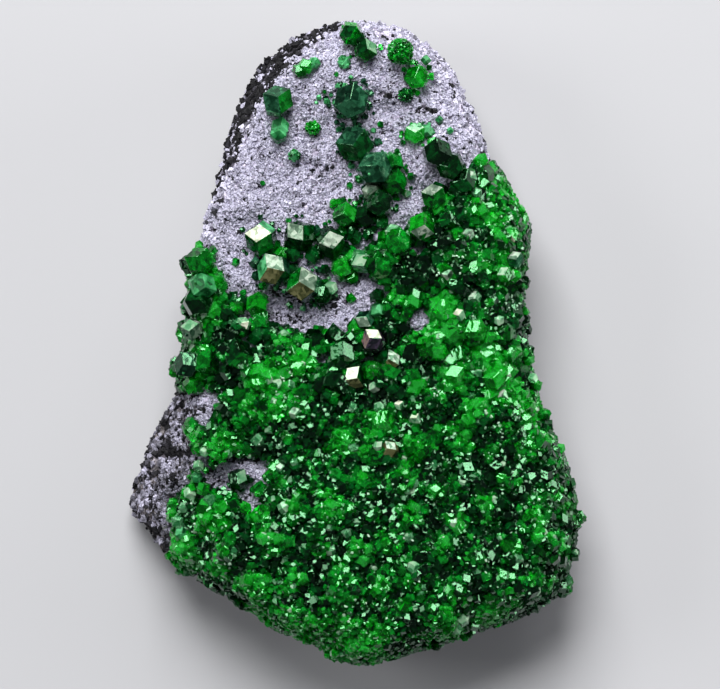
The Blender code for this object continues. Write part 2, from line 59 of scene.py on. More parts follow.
slab = {
    # silhouette from the front, counter-clockwise from the top
    "outline": [
        (-0.2, 24.4), (-1.9, 24.1), (-4.0, 23.4), (-6.1, 22.1), (-7.8, 20.2), (-8.8, 18.0), (-9.6, 15.4),
        (-10.1, 12.5), (-10.9, 10.3), (-11.8, 8.0), (-12.6, 6.2), (-12.8, 4.1), (-12.6, 2.5), (-13.2, 1.1),
        (-13.5, -3.0), (-14.4, -5.0), (-16.3, -9.7), (-17.2, -11.5), (-16.6, -13.0), (-15.4, -14.3),
        (-14.3, -16.9), (-12.4, -17.8), (-10.4, -18.8), (-6.2, -21.5), (-3.1, -22.8), (-1.7, -23.9),
        (0.1, -24.2), (1.9, -24.0), (4.0, -23.4), (8.8, -22.1), (11.4, -21.3), (13.9, -20.0), (16.1, -18.9),
        (16.8, -16.6), (16.9, -14.6), (17.3, -12.8), (16.9, -11.2), (15.4, -7.2), (13.9, -3.5), (13.2, 0.5),
        (13.0, 3.0), (13.0, 5.2), (13.4, 9.2), (12.8, 10.5), (10.5, 13.7), (9.8, 15.0), (9.2, 16.7),
        (8.4, 18.1), (7.3, 20.8), (6.2, 22.0), (4.6, 23.2), (2.6, 24.1),
    ],
    # ground that the crust of small crystals covers
    "crusted": [
        (11.8, 14.6), (9.2, 13.3), (8.3, 12.8), (7.6, 11.7), (6.0, 11.7), (5.2, 10.7), (5.3, 9.5), (3.8, 8.6),
        (2.8, 8.1), (1.3, 7.6), (-0.2, 6.9), (-1.4, 6.2), (-1.4, 5.0), (0.0, 4.8), (2.3, 4.8), (2.2, 3.6),
        (1.0, 3.1), (-0.1, 2.3), (-0.5, 0.8), (-2.3, 1.0), (-4.1, 0.8), (-6.2, 1.7), (-7.0, 2.9), (-7.5, 3.6),
        (-9.2, 3.6), (-10.1, 4.3), (-10.5, 5.3), (-10.6, 6.8), (-11.9, 7.6), (-14.0, 7.6), (-14.6, -3.0),
        (-13.0, -3.1), (-10.4, -3.4), (-10.4, -4.4), (-11.3, -6.1), (-12.6, -6.1), (-12.2, -7.5), (-11.0, -8.2),
        (-11.9, -8.8), (-12.1, -10.1), (-13.2, -11.4), (-13.8, -13.5), (-13.4, -15.2), (-16.5, -17.0),
        (-12.4, -20.5), (-8.6, -22.8), (-4.1, -25.0), (0.0, -26.5), (5.0, -26.0), (12.0, -23.8), (18.0, -20.5),
        (19.4, -14.6), (19.2, -10.5), (16.5, -3.0), (15.4, 3.4), (15.7, 10.0), (13.9, 13.6),
    ],
    # bare windows in the crust: x, y, half length, half width, turn in degrees
    "windows": [
        (-8.6, 0.3, 1.6, 0.5, -14), (-8.8, -9.5, 2.7, 1.35, 2), (4.6, 1.9, 0.9, 0.9, 0), (-2.3, -0.9, 0.5, 0.8, 10),
        (1.1, -0.9, 0.8, 0.6, 0), (4.5, 7.1, 0.7, 0.5, 0), (-8.0, 2.2, 0.9, 0.4, -30), (0.5, 3.0, 1.2, 1.0, 0),
        (-7.9, -11.3, 0.7, 1.1, 15), (-11.5, -11.4, 0.8, 0.4, 0), (0.35, 5.3, 0.5, 1.0, -15),
    ],
    "front": 9.0, "dome": 1.0, "loopPoints": 84, "crustInset": 0.85,
    # rings of the side from the top down: inset and share of the front's height
    "rings": [(1.5, 0.95), (0.45, 0.78), (0.0, 0.5), (0.6, 0.2), (1.8, 0.0)],
    "girth": 0.5, "wander": 0.3, "sideRoll": 2.4,
    # chips of the lower side: x, y, way it faces, lean
    "chips": [
        (-6.3, 16.7, 142, 34), (-9.9, 4.2, 176, 33), (-13.6, -10.5, 203, 40), (-6.9, -17.8, 240, 31),
        (7.0, -19.6, 288, 33), (14.3, -13.8, 337, 31), (10.3, 1.0, 4, 33), (7.2, 13.8, 36, 33), (0.8, 21.5, 82, 31),
    ],
    "chipReach": 7.5, "chipFade": 3.0,
    # swells and hollows: x, y, radius, rise
    "swells": [
        (8.0, 4.5, 6.0, 0.8), (-8.5, -2.6, 3.6, 0.7), (-5.0, 1.6, 2.4, -0.8), (-9.5, 0.4, 1.5, -0.5),
        (2.0, -12.0, 8.0, 0.6), (0.0, 17.0, 8.0, -0.4), (3.3, 0.6, 2.4, -0.5), (-9.2, -9.6, 2.6, -0.5),
        (-3.6, -5.0, 3.0, 0.4), (11.0, -12.0, 3.5, -0.4),
    ],
    "lumps": [(6.0, 0.26, 3), (3.0, 0.14, 8), (1.7, 0.07, 5)],
    # broken faces: a point on the upper edge, the way it falls, slope
    "breaks": [(-11.8, -9.0, -165, 0.85), (-7.2, 17.2, 146, 2.4), (13.2, -18.2, -63, 1.2), (15.2, -9.0, -8, 1.0)],
    # how far the crust hangs over the side, as a share of the front's height, and its lumps: size, rise, seed
    "hang": 0.42, "hangLumps": (1.7, 0.08, 58), "hangInset": (0.94, 0.96), "hangBlur": 1.6,
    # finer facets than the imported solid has: size across, rise, seed; how deep they are sunk, and more on the front
    "facets": [(1.3, 0.10, 31), (0.55, 0.09, 32)], "sunk": (0.15, 0.45),
    "jitter": 0.045, "jitterReach": (-1.5, 0.3), "seed": 7,
    # painted shade and shadows, with a few dark pits, cracks and specks: from x, y to x, y, half width, strength
    "shadeAndDarks": [
        (-1.6, 24.2, -5.2, 22.3, 0.8, 0.9), (-5.2, 22.3, -8.4, 18.0, 1.15, 1.0), (-8.4, 18.0, -9.8, 13.6, 0.9, 0.9),
        (-9.8, 13.6, -10.6, 11.0, 0.5, 0.6), (-6.0, 4.3, -2.4, 3.2, 0.5, 0.7), (-7.4, 2.2, -3.6, 1.8, 0.35, 0.6),
        (4.9, 17.6, 5.8, 17.4, 0.35, 0.9), (2.1, 18.75, 3.0, 18.65, 0.22, 0.8), (-9.6, 1.9, -11.0, 0.9, 0.5, 0.6),
        (0.4, 8.6, 0.7, 10.8, 0.7, 0.8), (-2.2, 2.9, -0.6, 3.5, 0.5, 0.5), (-14.7, -8.0, -12.5, -8.1, 0.38, 0.95),
        (-12.5, -5.0, -11.2, -4.9, 0.28, 0.8), (-14.3, -6.1, -14.1, -6.1, 0.34, 0.85),
        (-13.8, -10.1, -13.3, -10.5, 0.42, 0.7), (-15.4, -9.2, -14.8, -9.2, 0.28, 0.6),
        (-10.6, -8.5, -7.1, -8.4, 0.34, 0.85), (-10.3, -9.6, -10.1, -10.2, 0.5, 0.35),
        (-16.1, -13.4, -14.8, -14.1, 0.32, 0.6), (-13.3, -3.6, -12.1, -3.7, 0.4, 0.65),
        (-13.1, -4.6, -12.9, -4.7, 0.3, 0.5),
    ],
    "pole": (0.0, -6.4),
    "around": 504, "frontRows": 150, "sideRows": 9,
}


def inside(x, y, polygon):
    # True where a level line from the point crosses the polygon an odd number of times
    result = np.zeros(np.shape(x), bool)
    for (x0, y0), (x1, y1) in zip(polygon, np.roll(polygon, -1, 0)):
        if y0 != y1:
            result ^= ((y0 > y) != (y1 > y)) & (x < x0 + (y - y0) * (x1 - x0) / (y1 - y0))
    return result


def distanceTo(x, y, polygon):
    # distance from each point to the polygon's nearest edge
    nearest = np.full(np.shape(x), np.inf)
    for (x0, y0), (x1, y1) in zip(polygon, np.roll(polygon, -1, 0)):
        dx, dy = x1 - x0, y1 - y0
        along = np.clip(((x - x0) * dx + (y - y0) * dy) / (dx * dx + dy * dy), 0, 1)
        nearest = np.minimum(nearest, np.hypot(x - x0 - along * dx, y - y0 - along * dy))
    return nearest


def smooth(low, high, value):
    # 0 below low, 1 above high, an S-curve between
    t = np.clip((value - low) / (high - low), 0, 1)
    return t * t * (3 - 2 * t)


def blend(a, b, share):
    # a where share is 0, b where it is 1, a straight line between
    return a * (1 - share) + b * share


def eased(values, axis=0):
    # each value averaged with its two neighbours in a closed row, itself counted twice
    return (np.roll(values, 1, axis) + 2 * values + np.roll(values, -1, axis)) / 4


def unit(vectors):
    # each vector divided by its length
    return vectors / np.maximum(np.linalg.norm(vectors, axis=-1, keepdims=True), 1e-9)


def wayOf(degrees):
    # cosine and sine of a direction in the plane
    return math.cos(math.radians(degrees)), math.sin(math.radians(degrees))


def withSpots(values, x, y, spots):
    # the values plus one Gaussian spot after another: x, y, radius, amount
    for cx, cy, radius, amount in spots:
        values = values + amount * np.exp(-((x - cx) ** 2 + (y - cy) ** 2) / radius**2)
    return values


def lumps(x, y, size, rise, seed):
    # seven plane waves in seeded directions, added up
    rng = np.random.default_rng(seed)
    total = np.zeros(np.shape(x))
    for turn, phase, stretch in rng.uniform((0, 0, 0.7), (math.pi, 2 * math.pi, 1.4), (7, 3)):
        along = x * math.cos(turn) + y * math.sin(turn)
        total += np.sin(along * 2 * math.pi * stretch / size + phase)
    return rise * total / math.sqrt(7)


def frontHeight(x, y):
    # a low dome plus Gaussian swells, cut by sloping planes, plus lumps
    height = slab["front"] + slab["dome"] * (1 - (x / 20) ** 2 - ((y + 4) / 30) ** 2)
    height = withSpots(height, x, y, slab["swells"])
    for cx, cy, way, slope in slab["breaks"]:
        c, s = wayOf(way)
        height = np.minimum(height, slab["front"] - slope * ((x - cx) * c + (y - cy) * s))
    for size, rise, seed in slab["lumps"]:
        height = height + lumps(x, y, size, rise, seed)
    return height


def frontNormal(x, y):
    # square to the front, from differences of its height
    step = 0.3
    dx = (frontHeight(x + step, y) - frontHeight(x - step, y)) / (2 * step)
    dy = (frontHeight(x, y + step) - frontHeight(x, y - step)) / (2 * step)
    return unit(np.stack((-dx, -dy, np.ones(np.shape(x))), -1))


def crustMask(x, y, blur=0.25):
    # 1 on crusted ground, 0 on bare rock, with a soft border; the border wanders a little
    wander = lumps(x, y, 1.6, 0.22, 41)
    edge = distanceTo(x, y, slab["crusted"])
    signed = np.where(inside(x, y, slab["crusted"]), edge, -edge) + wander
    for cx, cy, length, width, turn in slab["windows"]:
        c, s = wayOf(turn)
        along, across = (x - cx) * c + (y - cy) * s, (y - cy) * c - (x - cx) * s
        reach = np.hypot(along / length, across / width)
        signed = np.minimum(signed, (reach - 1) * min(length, width) + wander)
    return smooth(-blur, blur, signed)


def crustFoot(x, y):
    # share of the front's height down to which the crust hangs over the side: ragged, and higher towards its ends
    within = crustMask(slab["hangInset"][0] * x, slab["hangInset"][1] * y, slab["hangBlur"])
    return 1 - (slab["hang"] + lumps(x, y, *slab["hangLumps"])) * within


def evenLoop(polygon, count):
    # equal steps along the closed polygon
    closed = np.vstack((polygon, polygon[:1]))
    run = np.append(0, np.cumsum(np.hypot(*np.diff(closed, axis=0).T)))
    steps = np.arange(count) * run[-1] / count
    return np.stack([np.interp(steps, run, closed[:, axis]) for axis in (0, 1)], 1)


def pulledIn(loop, distance):
    # each point moves inwards, square to the line through its neighbours
    along = np.roll(loop, -1, 0) - np.roll(loop, 1, 0)
    inward = unit(np.stack((-along[:, 1], along[:, 0]), 1))
    return loop + inward * np.reshape(distance, (-1, 1))


def rockRim():
    # the silhouette, stepped back smoothly where the crust wraps it
    loop = evenLoop(np.array(slab["outline"]), slab["loopPoints"])
    covered = inside(*loop.T, slab["crusted"]).astype(float)
    covered = sum(np.roll(covered, shift) for shift in (-1, 0, 1)) / 3
    return pulledIn(loop, slab["crustInset"] * covered)


def chipped(loop, heights):
    # the loop pressed back to leaning planes that fade out at their ends
    for x, y, way, lean in slab["chips"]:
        out = np.array(wayOf(way))
        beyond = (loop - (x, y)) @ out - heights * math.tan(math.radians(lean))
        fade = np.clip((slab["chipReach"] - np.hypot(*(loop - (x, y)).T)) / slab["chipFade"], 0, 1)
        loop = loop - (np.maximum(beyond, 0) * fade)[:, None] * out
    return loop


def moreOf(values, count):
    # a closed row of values, resampled along it and eased over its corners
    places = np.arange(count) * len(values) / count
    padded = np.vstack((values, values[:1]))
    full = np.stack([np.interp(places, np.arange(len(padded)), column) for column in padded.T], 1)
    return eased(eased(full))


def randomOf(cells, seed):
    # three seeded numbers from 0 to 1 for each whole-number cell
    a, b, c = (cells[..., k].astype(np.int64) for k in range(3))
    mix = (a * 73856093) ^ (b * 19349663) ^ (c * 83492791) ^ (seed * 6542989)
    numbers = []
    for k in range(3):
        mix = (mix * 1103515245 + 12345 + k) & 0x7FFFFFFF
        mix = mix ^ (mix >> 11)
        mix = (mix * 69069 + 7) & 0x7FFFFFFF
        numbers.append(((mix >> 7) & 0xFFFFF) / 0xFFFFF)
    return np.stack(numbers, -1)


def facets(points, size, seed):
    # each point lies on a tilted plane of its own through the nearest of scattered seeds; about -1 to 1
    scaled = points / size
    base = np.floor(scaled)
    nearest = np.full(len(points), np.inf)
    height = np.zeros(len(points))
    for shift in np.ndindex(3, 3, 3):
        cells = base + np.array(shift) - 1
        spot = cells + randomOf(cells, seed)
        tilt = randomOf(cells, seed + 77) - 0.5
        apart = scaled - spot
        distance = (apart**2).sum(1)
        closer = distance < nearest
        level = (tilt[:, 0] + tilt[:, 1]) + 2.4 * (apart * tilt[:, [2, 0, 1]]).sum(1)
        nearest = np.where(closer, distance, nearest)
        height = np.where(closer, level, height)
    return np.clip(height, -1, 1)


def slabGrid(around, frontRows, sideRows):
    # rings of points: from the pole out over the front to the brow, down the side, and in over the flat back
    rim = rockRim()
    loops, levels = [], []
    for inset, share in slab["rings"]:
        loop = pulledIn(rim, inset + lumps(*rim.T, 5.0, slab["wander"] * min(inset, 1), 11))
        roll = lumps(*rim.T, 7.0, slab["sideRoll"] * share * (1 - share), 12)
        heights = share * frontHeight(*loop.T) + roll
        if share < slab["girth"]:
            loop = chipped(loop, heights)
        ring = moreOf(np.column_stack((loop, heights)), around)
        loops.append(ring[:, :2])
        levels.append(ring[:, 2])
    brow, browLevel = loops[0], levels[0]
    pole = np.array(slab["pole"])
    rows = []
    reach = np.linalg.norm(brow - pole, axis=1)
    for share in np.arange(1, frontRows) / frontRows:
        spot = pole + (brow - pole) * share
        near = smooth(1.3, 0, reach * (1 - share))
        drop = browLevel - frontHeight(*brow.T)
        rows.append(np.column_stack((spot, frontHeight(*spot.T) + near * drop)))
    for upper in range(len(loops) - 1):
        for share in np.arange(sideRows) / sideRows:
            spot = blend(loops[upper], loops[upper + 1], share)
            rows.append(np.column_stack((spot, blend(levels[upper], levels[upper + 1], share))))
    foot = loops[-1]
    for share in (1.0, 0.97, 0.6, 0.25):
        rows.append(np.column_stack((pole + (foot - pole) * share, np.zeros(around))))
    return np.array(rows)


def gridNormals(grid):
    # square to the rows and columns, outwards
    alongRing = np.roll(grid, -1, 1) - np.roll(grid, 1, 1)
    return unit(np.cross(np.gradient(grid, axis=0), alongRing))


def gridFaces(rows, around):
    # quads between the rings, and a fan at each pole
    ring = np.arange(around)
    ahead = (ring + 1) % around
    faces = []
    for row in range(rows - 1):
        low, high = row * around, (row + 1) * around
        faces.append(np.stack((low + ring, high + ring, high + ahead, low + ahead), 1))
    quads = np.concatenate(faces)
    top, bottom = rows * around, rows * around + 1
    last = (rows - 1) * around
    fans = np.concatenate(
        (
            np.stack((np.full(around, top), ring, ahead), 1),
            np.stack((np.full(around, bottom), last + ahead, last + ring), 1),
        )
    )
    return quads, fans


def keptInBox(points, each):
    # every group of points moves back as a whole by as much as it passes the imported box
    margin = 0.01
    groups = points.reshape(-1, each, 3)
    shift = np.maximum(boxLow + margin - groups.min(1), 0) + np.minimum(boxHigh - margin - groups.max(1), 0)
    return (groups + shift[:, None]).reshape(-1, 3)


def placed(name, data):
    # an object of the data at the origin, linked to the scene
    thing = bpy.data.objects.new(name, data)
    bpy.context.scene.collection.objects.link(thing)
    return thing


def makePiece(name, points, faceLists, materials, faceMaterials=None, attributes=None):
    # one mesh object from whole arrays of points (mm) and faces, with named values per point or per face
    mesh = bpy.data.meshes.new(name)
    faces = [face for block in faceLists for face in block.tolist()]
    mesh.from_pydata((points * mm).tolist(), [], faces)
    for material in materials:
        mesh.materials.append(material)
    if faceMaterials is not None:
        mesh.polygons.foreach_set("material_index", np.asarray(faceMaterials, np.int32))
    for key, values in (attributes or {}).items():
        layer = mesh.attributes.new(key, "FLOAT", "POINT" if len(values) == len(points) else "FACE")
        layer.data.foreach_set("value", np.asarray(values, np.float32))
    mesh.update()
    piece = placed(name, mesh)
    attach(piece, "root")
    return piece


# Materials

def newMaterial(name):
    # a material, its node tree, its shader and its output
    material = bpy.data.materials.new(name)
    material.use_nodes = True
    tree = material.node_tree
    return material, tree, tree.nodes["Principled BSDF"], tree.nodes["Material Output"]


def feed(tree, node, inputs):
    # sets the inputs of a node, by name or number: a socket is linked, anything else is the value itself
    for key, value in inputs.items():
        if isinstance(value, bpy.types.NodeSocket):
            tree.links.new(value, node.inputs[key])
        else:
            node.inputs[key].default_value = value


def addNode(tree, kind, inputs=None, **settings):
    node = tree.nodes.new("ShaderNode" + kind)
    for key, value in settings.items():
        setattr(node, key, value)
    feed(tree, node, inputs or {})
    return node


def calculate(tree, operation, *values):
    return addNode(tree, "Math", dict(enumerate(values)), operation=operation).outputs[0]


def mixed(tree, share, colour, other, way="MIX"):
    # numbers of a mix node's inputs for colours: share 0, first 6, second 7; the result is output 2
    return addNode(tree, "Mix", {0: share, 6: colour, 7: other}, data_type="RGBA", blend_type=way).outputs[2]


def attribute(tree, name):
    return addNode(tree, "Attribute", attribute_name=name).outputs["Fac"]


def newGroup(name, outputs):
    # a node group with the input Size: the group, its size, the place on the object and its end
    group = bpy.data.node_groups.new(name, "ShaderNodeTree")
    for socket, side in (("Size", "INPUT"), *((output, "OUTPUT") for output in outputs)):
        group.interface.new_socket(socket, in_out=side, socket_type="NodeSocketFloat")
    enter, leave = group.nodes.new("NodeGroupInput"), group.nodes.new("NodeGroupOutput")
    return group, enter.outputs["Size"], addNode(group, "TexCoord").outputs["Object"], leave


def cellsAt(tree, place, size):
    # scattered cells: a random number for each, and the distance from its middle
    cells = addNode(tree, "TexVoronoi", {"Vector": place, "Scale": size, "Randomness": 1.0}, feature="F1")
    split = addNode(tree, "SeparateColor", {"Color": cells.outputs["Color"]})
    return split.outputs["Red"], cells.outputs["Distance"]


def noiseAt(tree, place, size, detail, roughness):
    inputs = {"Vector": place, "Scale": size, "Detail": detail, "Roughness": roughness}
    return addNode(tree, "TexNoise", inputs).outputs["Fac"]


def speckleGroup():
    # grain of a sugary rock: cells of light and dark with a fine noise, and finer dark flecks (0 where dark)
    group, size, place, leave = newGroup("speckle", ("Mask", "Flecks", "Height"))
    number, distance = cellsAt(group, place, size)
    noise = noiseAt(group, place, calculate(group, "MULTIPLY", size, 1.7), 4.0, 0.65)
    mask = addNode(group, "Mix", {0: 0.45, 2: number, 3: noise}, data_type="FLOAT")
    dots = noiseAt(group, place, calculate(group, "MULTIPLY", size, 2.4), 1.0, 0.4)
    flecks = addNode(group, "MapRange", {"Value": dots, "From Min": 0.42, "From Max": 0.52})
    height = calculate(group, "SUBTRACT", noise, distance)
    feed(group, leave, {"Mask": mask.outputs[0], "Flecks": flecks.outputs["Result"], "Height": height})
    return group


def flawGroup():
    # what a clear crystal shows inside: flat cells like inner faces and a cloudy veil, out as masks and a height
    group, size, place, leave = newGroup("flaws", ("Cells", "Veil", "Height"))
    number, distance = cellsAt(group, place, size)
    feed(group, leave, {"Cells": number, "Veil": noiseAt(group, place, 1500.0, 3.0, 0.6), "Height": distance})
    return group


speckle, flaws = speckleGroup(), flawGroup()


def flecked(tree, colour, flecks, share):
    # the colour, darkened by a share where the flecks are
    return mixed(tree, 1.0, colour, calculate(tree, "MULTIPLY_ADD", flecks, share, 1 - share), "MULTIPLY")


def bumped(tree, height, strength, depth):
    inputs = {"Strength": strength, "Distance": depth, "Height": height}
    return addNode(tree, "Bump", inputs).outputs["Normal"]


def ramp(tree, value, stops):
    node = addNode(tree, "ValToRGB", {0: value})
    elements = node.color_ramp.elements
    while len(elements) < len(stops):
        elements.new(0.5)
    for element, (place, colour) in zip(elements, stops):
        element.position = place
        element.color = (*colour, 1)
    return node.outputs[0]


stoneLook = {
    "grain": 3400.0,  # cells to a metre
    "pale": [
        (0.0, (0.03, 0.026, 0.04)), (0.30, (0.13, 0.115, 0.16)), (0.46, (0.42, 0.38, 0.50)),
        (0.75, (0.72, 0.68, 0.82)),
    ],
    "brown": [
        (0.0, (0.012, 0.01, 0.01)), (0.35, (0.07, 0.058, 0.055)), (0.6, (0.20, 0.175, 0.17)),
        (0.85, (0.42, 0.39, 0.40)),
    ],
    "stain": (0.05, 0.20, 0.07, 1),
    # black of the painted shade and shadows, and of the few dark pits
    "black": (0.010, 0.010, 0.013, 1),
    "roughness": 0.85, "grainRoughness": 0.6, "shine": 0.18,
    "bump": 0.5, "bumpDepth": 0.12 * mm,
    "flecks": 0.52,
    # loose grains, from the darkest to the lightest
    "grains": [
        (0.0, (0.004, 0.004, 0.005)), (0.12, (0.018, 0.017, 0.021)), (0.27, (0.18, 0.175, 0.215)),
        (0.55, (0.49, 0.475, 0.60)), (1.0, (0.64, 0.62, 0.75)),
    ],
}


def makeStone(name):
    # pale lilac grain; browner and darker on the sides and the broken face, a brown tint with painted shade; green
    # where
    # "stain" is 1; black in the painted shade and shadows and the few dark pits
    material, tree, shader, _ = newMaterial(name)
    grain = addNode(tree, "Group", {"Size": stoneLook["grain"]}, node_tree=speckle)
    pale, brown = (ramp(tree, grain.outputs["Mask"], stoneLook[key]) for key in ("pale", "brown"))
    colour = mixed(tree, attribute(tree, "brownAndShade"), pale, brown)
    colour = mixed(tree, attribute(tree, "stain"), colour, stoneLook["stain"])
    colour = mixed(tree, attribute(tree, "shadeAndDark"), colour, stoneLook["black"])
    feed(tree, shader, {
        "Base Color": flecked(tree, colour, grain.outputs["Flecks"], stoneLook["flecks"]),
        "Roughness": stoneLook["roughness"], "Specular IOR Level": stoneLook["shine"],
        "Normal": bumped(tree, grain.outputs["Height"], stoneLook["bump"], stoneLook["bumpDepth"]),
    })
    return material


def makeGrain(name):
    # loose sugary grains: "tone" says how light each one is
    material, tree, shader, _ = newMaterial(name)
    colour = ramp(tree, attribute(tree, "tone"), stoneLook["grains"])
    grain = addNode(tree, "Group", {"Size": stoneLook["grain"]}, node_tree=speckle)
    feed(tree, shader, {
        "Base Color": flecked(tree, colour, grain.outputs["Flecks"], stoneLook["flecks"]),
        "Roughness": stoneLook["grainRoughness"], "Specular IOR Level": stoneLook["shine"],
    })
    return material


garnetLook = {
    "ior": 1.87, "gloss": (0.26, 0.60, 0.33, 1),
    "cells": 2700.0,  # inner faces to a metre
    # how far the flaws move the tone, and the tones of the three surface colours
    "shares": {"Cells": 0.6, "Veil": 1.0}, "tones": (0.12, 0.5, 0.92),
    "bump": 0.15, "bumpDepth": 0.1 * mm,
    # name: dark, middle and light surface colour, absorption colour, absorption per metre, transmission, and the
    # roughness where the veil is thin and where it is thick
    "deep": (
        (0.001, 0.012, 0.004), (0.002, 0.09, 0.014), (0.006, 0.38, 0.055), (0.02, 0.70, 0.18),
        1700.0, 0.86, 0.02, 0.14,
    ),
    "middle": (
        (0.001, 0.05, 0.006), (0.004, 0.34, 0.02), (0.014, 0.86, 0.07), (0.02, 0.84, 0.10),
        900.0, 0.82, 0.02, 0.14,
    ),
    "bright": (
        (0.001, 0.18, 0.006), (0.008, 0.74, 0.022), (0.06, 0.99, 0.12), (0.03, 0.92, 0.06),
        500.0, 0.78, 0.02, 0.14,
    ),
    "pale": ((0.03, 0.24, 0.07), (0.20, 0.56, 0.27), (0.58, 0.86, 0.58), (0.45, 0.92, 0.55), 300.0, 0.55, 0.05, 0.3),
    # silver and cream: opaque grey and cream garnets, painted reflections of the lamps
    "silver": ((0.015, 0.04, 0.022), (0.09, 0.135, 0.095), (0.36, 0.42, 0.34), None, 0.0, 0.0, 0.12, 0.4),
    "amber": (
        (0.012, 0.014, 0.004), (0.064, 0.066, 0.022), (0.21, 0.20, 0.09), (0.50, 0.55, 0.12),
        1200.0, 0.30, 0.1, 0.3,
    ),
    "violet": (
        (0.008, 0.005, 0.012), (0.045, 0.028, 0.055), (0.20, 0.13, 0.12), (0.50, 0.55, 0.12),
        1200.0, 0.20, 0.1, 0.3,
    ),
    "cream": ((0.18, 0.20, 0.13), (0.38, 0.39, 0.29), (0.66, 0.66, 0.54), None, 0.0, 0.0, 0.1, 0.35),
    "teal": (
        (0.001, 0.011, 0.006), (0.005, 0.045, 0.020), (0.035, 0.18, 0.085), (0.06, 0.70, 0.30),
        1400.0, 0.5, 0.05, 0.25,
    ),
    "dusty": (
        (0.003, 0.06, 0.015), (0.018, 0.24, 0.06), (0.12, 0.58, 0.23), (0.10, 0.85, 0.30),
        700.0, 0.35, 0.25, 0.55,
    ),
    # frost: pale flakes, also painted glints
    "frostAndGlint": ((0.03, 0.14, 0.05), (0.15, 0.36, 0.19), (0.52, 0.70, 0.54), None, 0.0, 0.0, 0.1, 0.4),
    # bed: opaque green under the crystals, near black at its dark end, painted shade in the troughs between them
    "bed": ((0.001, 0.010, 0.002), (0.003, 0.09, 0.007), (0.010, 0.62, 0.03), None, 0.0, 0.0, 0.05, 0.25),
}


def makeGarnet(kind):
    # clear crystal: "tone" and its flaws run the surface colour from dark to light
    *colours, depth, density, clear, low, high = garnetLook[kind]
    material, tree, shader, output = newMaterial("garnet_" + kind)
    total = attribute(tree, "tone")
    inner = addNode(tree, "Group", {"Size": garnetLook["cells"]}, node_tree=flaws)
    for socket, share in garnetLook["shares"].items():
        part = calculate(tree, "MULTIPLY_ADD", inner.outputs[socket], share, -share / 2)
        total = calculate(tree, "ADD", total, part)
    polish = {"Value": inner.outputs["Veil"], "From Min": 0.35, "From Max": 0.75, "To Min": low, "To Max": high}
    feed(tree, shader, {
        "Base Color": ramp(tree, total, list(zip(garnetLook["tones"], colours))),
        "Roughness": addNode(tree, "MapRange", polish).outputs["Result"],
        "Normal": bumped(tree, inner.outputs["Height"], garnetLook["bump"], garnetLook["bumpDepth"]),
        "IOR": garnetLook["ior"], "Transmission Weight": clear, "Specular Tint": garnetLook["gloss"],
    })
    if depth:
        volume = addNode(tree, "VolumeAbsorption", {"Color": (*depth, 1), "Density": density})
        feed(tree, output, {"Volume": volume.outputs[0]})
    return material


stone = makeStone("stone_lilac")
grainStone = makeGrain("stone_grain")
garnetKinds = ["deep", "middle", "bright", "pale", "silver", "amber", "violet", "cream", "teal", "dusty"]
garnets = {kind: makeGarnet(kind) for kind in (*garnetKinds, "frostAndGlint", "bed")}
print("materials: made")


# The rock

marks = {
    # how ragged a band of painted shade is: size, rise, seed; and its fade, in half widths
    "ragged": (1.1, 0.2, 53), "fade": (1.35, 0.55),
    # shares of the front's height over which the side grows browner and darker (a brown tint and painted shade), how
    # much lower they lie on the upper field, and the y over which that changes
    "side": (0.9, 0.55), "sideLower": (0.45, 0.35), "upper": (4.0, 7.0),
    # the broken face: x and y over which it begins, its lean, and its patches
    "brokenX": (-9.6, -13.2), "brokenY": (-2.6, -4.4), "brokenLean": 0.12, "patches": (2.2, 0.22, 54),
    "patchShare": 0.75,
    # the green tint: strength, how far it reaches from the crust, its patches and their limits
    "stain": 0.55, "stainReach": 1.4, "stainPatches": (1.3, 0.6, 52), "stainLimits": (-0.2, 0.9),
}


def shadeAndDarkAt(x, y):
    # strength of the nearest dark band, faded out over its half width: mostly painted shade and shadow, a few pits and
    # cracks
    wander = lumps(x, y, *marks["ragged"])
    outer, inner = marks["fade"]
    shadeAndDark = np.zeros(np.shape(x))
    for x0, y0, x1, y1, width, strength in slab["shadeAndDarks"]:
        away = distanceTo(x, y, [(x0, y0), (x1, y1)]) + wander * width
        shadeAndDark = np.maximum(shadeAndDark, strength * smooth(outer * width, inner * width, away))
    return shadeAndDark


def brownAndShadeAt(points):
    # 1 on the sides and the broken lower-left face, 0 on the fresh sugary front and on the upper field's rim: a brown
    # tint there, with painted shade where these faces turn from the light
    x, y, z = points.T
    upper = smooth(*marks["upper"], y)
    high, low = (share - lower * upper for share, lower in zip(marks["side"], marks["sideLower"]))
    side = smooth(high, low, z / frontHeight(x, y))
    broken = smooth(*marks["brokenX"], x + marks["brokenLean"] * (y + 9.0)) * smooth(*marks["brokenY"], y)
    patches = marks["patchShare"] + lumps(x, y, *marks["patches"])
    return np.clip(np.maximum(side, broken * patches), 0, 1)


def stainAt(points):
    # a green tint beside the crystals, patchy, and only on the front
    x, y, z = points.T
    near = smooth(marks["stainReach"], 0.0, distanceTo(x, y, slab["crusted"]))
    patches = smooth(*marks["stainLimits"], lumps(x, y, *marks["stainPatches"]))
    return marks["stain"] * near * patches * smooth(0.5, 0.9, z / frontHeight(x, y))


